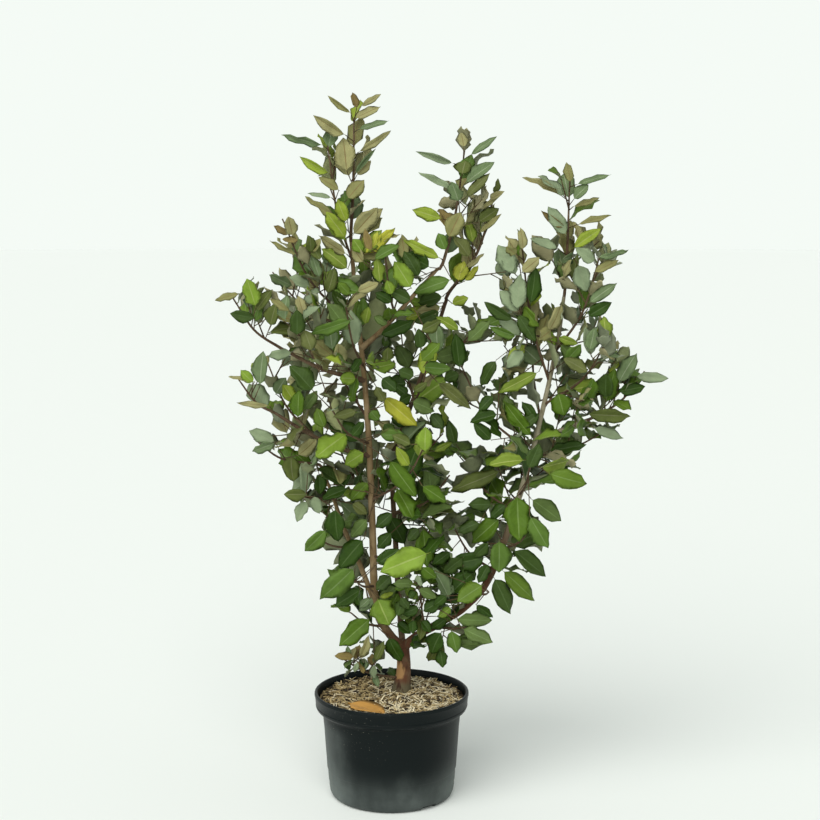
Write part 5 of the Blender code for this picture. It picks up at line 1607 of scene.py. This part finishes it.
def plasticFinish():
    # black satin plastic, dusty at the foot, with a painted highlight down the left side and paler at the
    # lower right
    made, graph, shader = startMaterial("black plastic", plastic["roughness"], plastic["specular"])
    place = graph.place()
    x, _y, z = graph.axes(place)
    blotches = graph.noise(graph.stretched(place, blotch["stretch"]), blotch["scale"], detail=5.0)
    grain = graph.noise(place, plastic["grain"], detail=2.0)
    below = 1.0 - z.eased(*dusty["below"])
    low = 1.0 - z.eased(*dusty["low"])
    # painted highlight: the left side of the pot is made paler where the light falls on it
    left = (-x).eased(*dusty["left"]) * below
    right = x.eased(*dusty["right"]) * below * (1.0 - z.eased(*dusty["rightBelow"]))
    scuffs = 1.0 - (z - scuffed["height"]).maths("ABSOLUTE").eased(*scuffed["edge"])
    scuffs = scuffs * blotches.eased(*scuffed["blotchEdge"])
    specks = graph.noise(place, specked["scale"], detail=2.0).eased(*specked["edge"])
    specks = specks * (-x).eased(*specked["left"]) * z.eased(*specked["above"])
    # one mask for the dust at the foot, the painted highlight at the left and the paler lower right
    dustAndHighlightMask = low * dustAndHighlightShares["low"] + left * dustAndHighlightShares["left"] + right * dustAndHighlightShares["right"]
    dustAndHighlightMask = dustAndHighlightMask * (blotches.eased(*blotch["edge"]) * blotch["share"] + blotch["least"])
    dustAndHighlightMask = dustAndHighlightMask + blotches.eased(*blotch["ownEdge"]) * blotch["own"] + scuffs * dustAndHighlightShares["scuffs"]
    dustAndHighlightMask = dustAndHighlightMask.eased(0.0, 1.0)
    colour = graph.blend(dustAndHighlightMask, rgb(plastic["clean"]), rgb(plastic["dusty"]))
    colour = graph.blend(specks * dustAndHighlightShares["specks"], colour, rgb(plastic["speck"]))
    rings = (z * plastic["rings"]).maths("SINE") * plastic["ringRise"]
    height = grain + blotches * plastic["blotchRise"] + rings
    graph.surface(shader, colour, height, plastic["depth"], plastic["strength"])
    graph.feed(shader.inputs["Roughness"], dustAndHighlightMask * plastic["dustRougher"] + plastic["roughness"])
    return made


pot.data.materials.clear()
pot.data.materials.append(plasticFinish())
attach(pot, "root")
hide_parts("pot")
print("pot turned")

# The compost, heaped a little round the trunk, and the bark mulch strewn on it

soil = {"rings": 22, "spokes": 72, "edge": 0.1031, "under": 0.1280, "raised": 0.0005, "heap": 0.0025,
        "heapReach": 0.05, "lump": 0.0009, "waves": (140, 170, 260, 190), "phases": (1.3, 0.7),
        "pale": (0.150, 0.112, 0.056), "dark": (0.018, 0.013, 0.008), "crumbs": 240.0,
        "crumbEdge": (0.40, 0.62), "depth": 0.004, "strength": 0.9, "roughness": 0.95, "specular": 0.15}


def fromTrunk(x, y):
    return math.hypot(x - trunkShape["route"][0][0], y - trunkShape["route"][0][1])


def soilHeight(x, y):
    heap = soil["heap"] * math.exp(-(fromTrunk(x, y) / soil["heapReach"]) ** 2)
    (long, wide, fine, cross), (first, second) = soil["waves"], soil["phases"]
    waves = math.sin(long * x + first) * math.sin(wide * y) + math.sin(fine * x - cross * y + second)
    return soilTop + soil["raised"] + heap + soil["lump"] * waves


def compostFinish():
    made, graph, shader = startMaterial("compost crumbs", soil["roughness"], soil["specular"])
    crumbs = graph.noise(graph.place(), soil["crumbs"], detail=5.0, roughness=0.7)
    colour = graph.blend(crumbs.eased(*soil["crumbEdge"]), rgb(soil["dark"]), rgb(soil["pale"]))
    graph.surface(shader, colour, crumbs, soil["depth"], soil["strength"])
    return made


rings, spokes = soil["rings"], soil["spokes"]
corners = [(0.0, 0.0, soilHeight(0, 0))]
for ring in range(1, rings + 1):
    corners += [(x, y, soilHeight(x, y)) for x, y, _z in ringOf(soil["edge"] * ring / rings, spokes, 0.0)]
bottom = len(corners)
corners += [*ringOf(soil["edge"], spokes, soil["under"]), (0.0, 0.0, soil["under"])]
faces = []
for spoke in range(spokes):
    on = (spoke + 1) % spokes
    faces.append((0, 1 + spoke, 1 + on))
    for ring in range(rings):
        a, b = 1 + ring * spokes + spoke, 1 + ring * spokes + on
        faces.append((a, a + spokes, b + spokes, b))
    faces.append((bottom + spoke, len(corners) - 1, bottom + on))
mesh = newMesh("compost_bed", corners, faces)
mesh.shade_smooth()
mesh.materials.append(compostFinish())
bed = show("compost_bed", mesh)
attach(bed, "root")
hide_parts("compost")

# a strand's values are shares of its own length, width and thickness
strand = {"forms": 5, "cuts": 5, "ends": (0.06, 0.97), "endWidth": 0.35, "swell": 0.65,
          "ragged": (0.75, 1.2), "bend": 0.10, "bendTurn": 2.2, "bendStart": (0, 3), "uneven": (-0.03, 0.03),
          "top": 0.1, "otherTop": (0.02, 0.12), "underWidth": 0.8, "under": (-0.25, -0.3)}


def strandForm(name, seed):
    # a splinter of bark: a flat, bent, ragged strip of four sides, one metre long
    rng = random.Random(seed)
    corners = []
    for k in range(strand["cuts"]):
        t = k / (strand["cuts"] - 1)
        tapering = math.sin(math.pi * min(strand["ends"][1], max(strand["ends"][0], t)))
        half = 0.5 * (strand["endWidth"] + strand["swell"] * tapering) * rng.uniform(*strand["ragged"])
        lift = strand["bend"] * math.sin(strand["bendTurn"] * t + rng.uniform(*strand["bendStart"]))
        lift += rng.uniform(*strand["uneven"])
        x, under = t - 0.5, half * strand["underWidth"]
        corners += [(x, half, lift + strand["top"]), (x, -half, lift + rng.uniform(*strand["otherTop"])),
                    (x, -under, lift + strand["under"][0]), (x, under, lift + strand["under"][1])]
    ends = [(3, 2, 1, 0), tuple(range(len(corners) - 4, len(corners)))]
    return bpy.data.objects.new(name, newMesh(name, corners, bridged(strand["cuts"], 4) + ends))


strands = formCollection("strandForms", [strandForm(f"strand{k}", k) for k in range(strand["forms"])])
mulchKinds = {
    "pale": {"colour": (0.880, 0.780, 0.540), "other": (0.500, 0.385, 0.190), "lengths": (0.009, 0.021),
             "widths": (0.0011, 0.0023), "lift": 0.0042, "count": 1550, "seed": 1},
    "tan": {"colour": (0.400, 0.300, 0.140), "other": (0.265, 0.185, 0.080), "lengths": (0.006, 0.015),
            "widths": (0.0014, 0.0032), "lift": 0.0032, "count": 900, "seed": 2},
    "dark": {"colour": (0.070, 0.048, 0.028), "other": (0.040, 0.028, 0.017), "lengths": (0.006, 0.013),
             "widths": (0.0018, 0.0040), "lift": 0.0036, "count": 1150, "seed": 3},
}
mulch = {"radius": 0.1015, "edge": 0.1038, "trunkRoom": 0.014, "thick": (0.0010, 0.0020),
         "lowest": 0.0004, "lean": 0.22, "quickShare": 3}
paintedShadeSide = {"x": -0.025, "y": -0.045, "share": 0.9}  # where most strands take their darker colour: painted shade at the left back of the mulch
strandSurface = {"roughness": 0.88, "specular": 0.2, "grain": 700.0, "edge": (0.45, 0.7), "darker": 0.6,
                 "depth": 0.0006, "strength": 0.6}


def strandFinish(name, colour):
    looks = strandSurface
    made, graph, shader = startMaterial(name, looks["roughness"], looks["specular"])
    grain = graph.noise(graph.place(), looks["grain"], detail=3.0)
    darker = rgb([value * looks["darker"] for value in colour])
    colours = graph.blend(grain.eased(*looks["edge"]), rgb(colour), darker)
    graph.surface(shader, colours, grain, looks["depth"], looks["strength"])
    return made


for kind, looks in mulchKinds.items():
    rng = random.Random(looks["seed"])
    rows = []
    for _ in range(looks["count"] // (1)):
        angle, radius = rng.uniform(0, 2 * math.pi), mulch["radius"] * math.sqrt(rng.random())
        x, y = radius * math.cos(angle), radius * math.sin(angle)
        length = rng.uniform(*looks["lengths"])
        if radius + length / 2 > mulch["edge"] or fromTrunk(x, y) < mulch["trunkRoom"]:
            continue
        place = Matrix.Translation((x, y, soilHeight(x, y) + rng.uniform(mulch["lowest"], looks["lift"])))
        lean = Matrix.Rotation(rng.gauss(0, mulch["lean"]), 4, "Y")
        place = place @ Matrix.Rotation(rng.uniform(0, 2 * math.pi), 4, "Z") @ lean
        size = (length, rng.uniform(*looks["widths"]), rng.uniform(*mulch["thick"]))
        # painted shade: at the left back of the mulch most strands take their darker colour, elsewhere the
        # usual share
        darkerShare = paintedShadeSide["share"] if x < paintedShadeSide["x"] and y > paintedShadeSide["y"] else otherShare
        rows.append((place, size, rng.randrange(strand["forms"]), rng.random() < darkerShare))
    first = strandFinish(kind + " mulch", looks["colour"])
    second = strandFinish(kind + " mulch other", looks["other"])
    piece = scattered(kind + "_mulch", rows, strands, (first, second, first, first))
    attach(piece, "root")
    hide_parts("compost")

fallen = {"base": (-0.060, -0.040, 0.1440), "tip": (-0.008, -0.084, 0.1436), "width": 0.036,
          "face": (0.10, -0.15, 1), "colour": (0.500, 0.262, 0.065), "roughness": 0.6}
start, end = Vector(fallen["base"]), Vector(fallen["tip"])
length = (end - start).length
dry = leafFinish("fallen leaf", fallen["colour"], fallen["roughness"])
rows = [(leafFrame(start, end - start, Vector(fallen["face"])),
         (length, fallen["width"] / leafWidth, length), dryForm, False)]
piece = scattered("fallen_leaf", rows, forms, [dry] * 4)
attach(piece, "root")
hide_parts("compost")
for home in (forms, strands):
    for thing in list(home.objects):
        bpy.data.objects.remove(thing)
print("mulch strewn")

# The floor, the light and the camera

ground = {"radius": 40.0, "sides": 96, "colour": (0.845, 0.877, 0.845), "roughness": 0.9, "specular": 0.2}
mesh = newMesh("floor", ringOf(ground["radius"], ground["sides"], 0.0), [tuple(range(ground["sides"]))])
made, graph, shader = startMaterial("floor", ground["roughness"], ground["specular"])
graph.feed(shader.inputs["Base Color"], rgb(ground["colour"]))
mesh.materials.append(made)
floor = show("floor", mesh)

studio = {"side": (0.913, 0.965, 0.918), "overhead": (0.36, 0.38, 0.38), "edge": (0.22, 0.60)}
world = bpy.data.worlds.new("studio")
world.use_nodes = True
graph = Graph(world.node_tree)  # white round the horizon, dimmer overhead
overhead = graph.axes(graph.place("Generated"))[2]
sky = graph.blend(overhead.eased(*studio["edge"]), rgb(studio["side"]), rgb(studio["overhead"]))
graph.feed(world.node_tree.nodes["Background"].inputs["Color"], sky)
bpy.context.scene.world = world
bpy.context.scene.view_settings.view_transform = "Standard"

key = {"from": (-0.45, -1.15, 1.10), "angle": 66, "strength": 2.9, "colour": (1.0, 0.995, 0.97)}
sun = bpy.data.lights.new("key", "SUN")
sun.angle = math.radians(key["angle"])
sun.energy = key["strength"]
sun.color = key["colour"]
lamp = show("key", sun)
lamp.rotation_euler = (-Vector(key["from"])).to_track_quat("-Z", "Y").to_euler()

lens = bpy.data.cameras.new("camera")
lens.sensor_width = sensorWidth
lens.lens = focalPixels * sensorWidth / photoSide
camera = show("camera", lens)
camera.location = cameraSpot
camera.rotation_euler = (math.pi / 2 - cameraDip, 0, 0)
bpy.context.scene.camera = camera
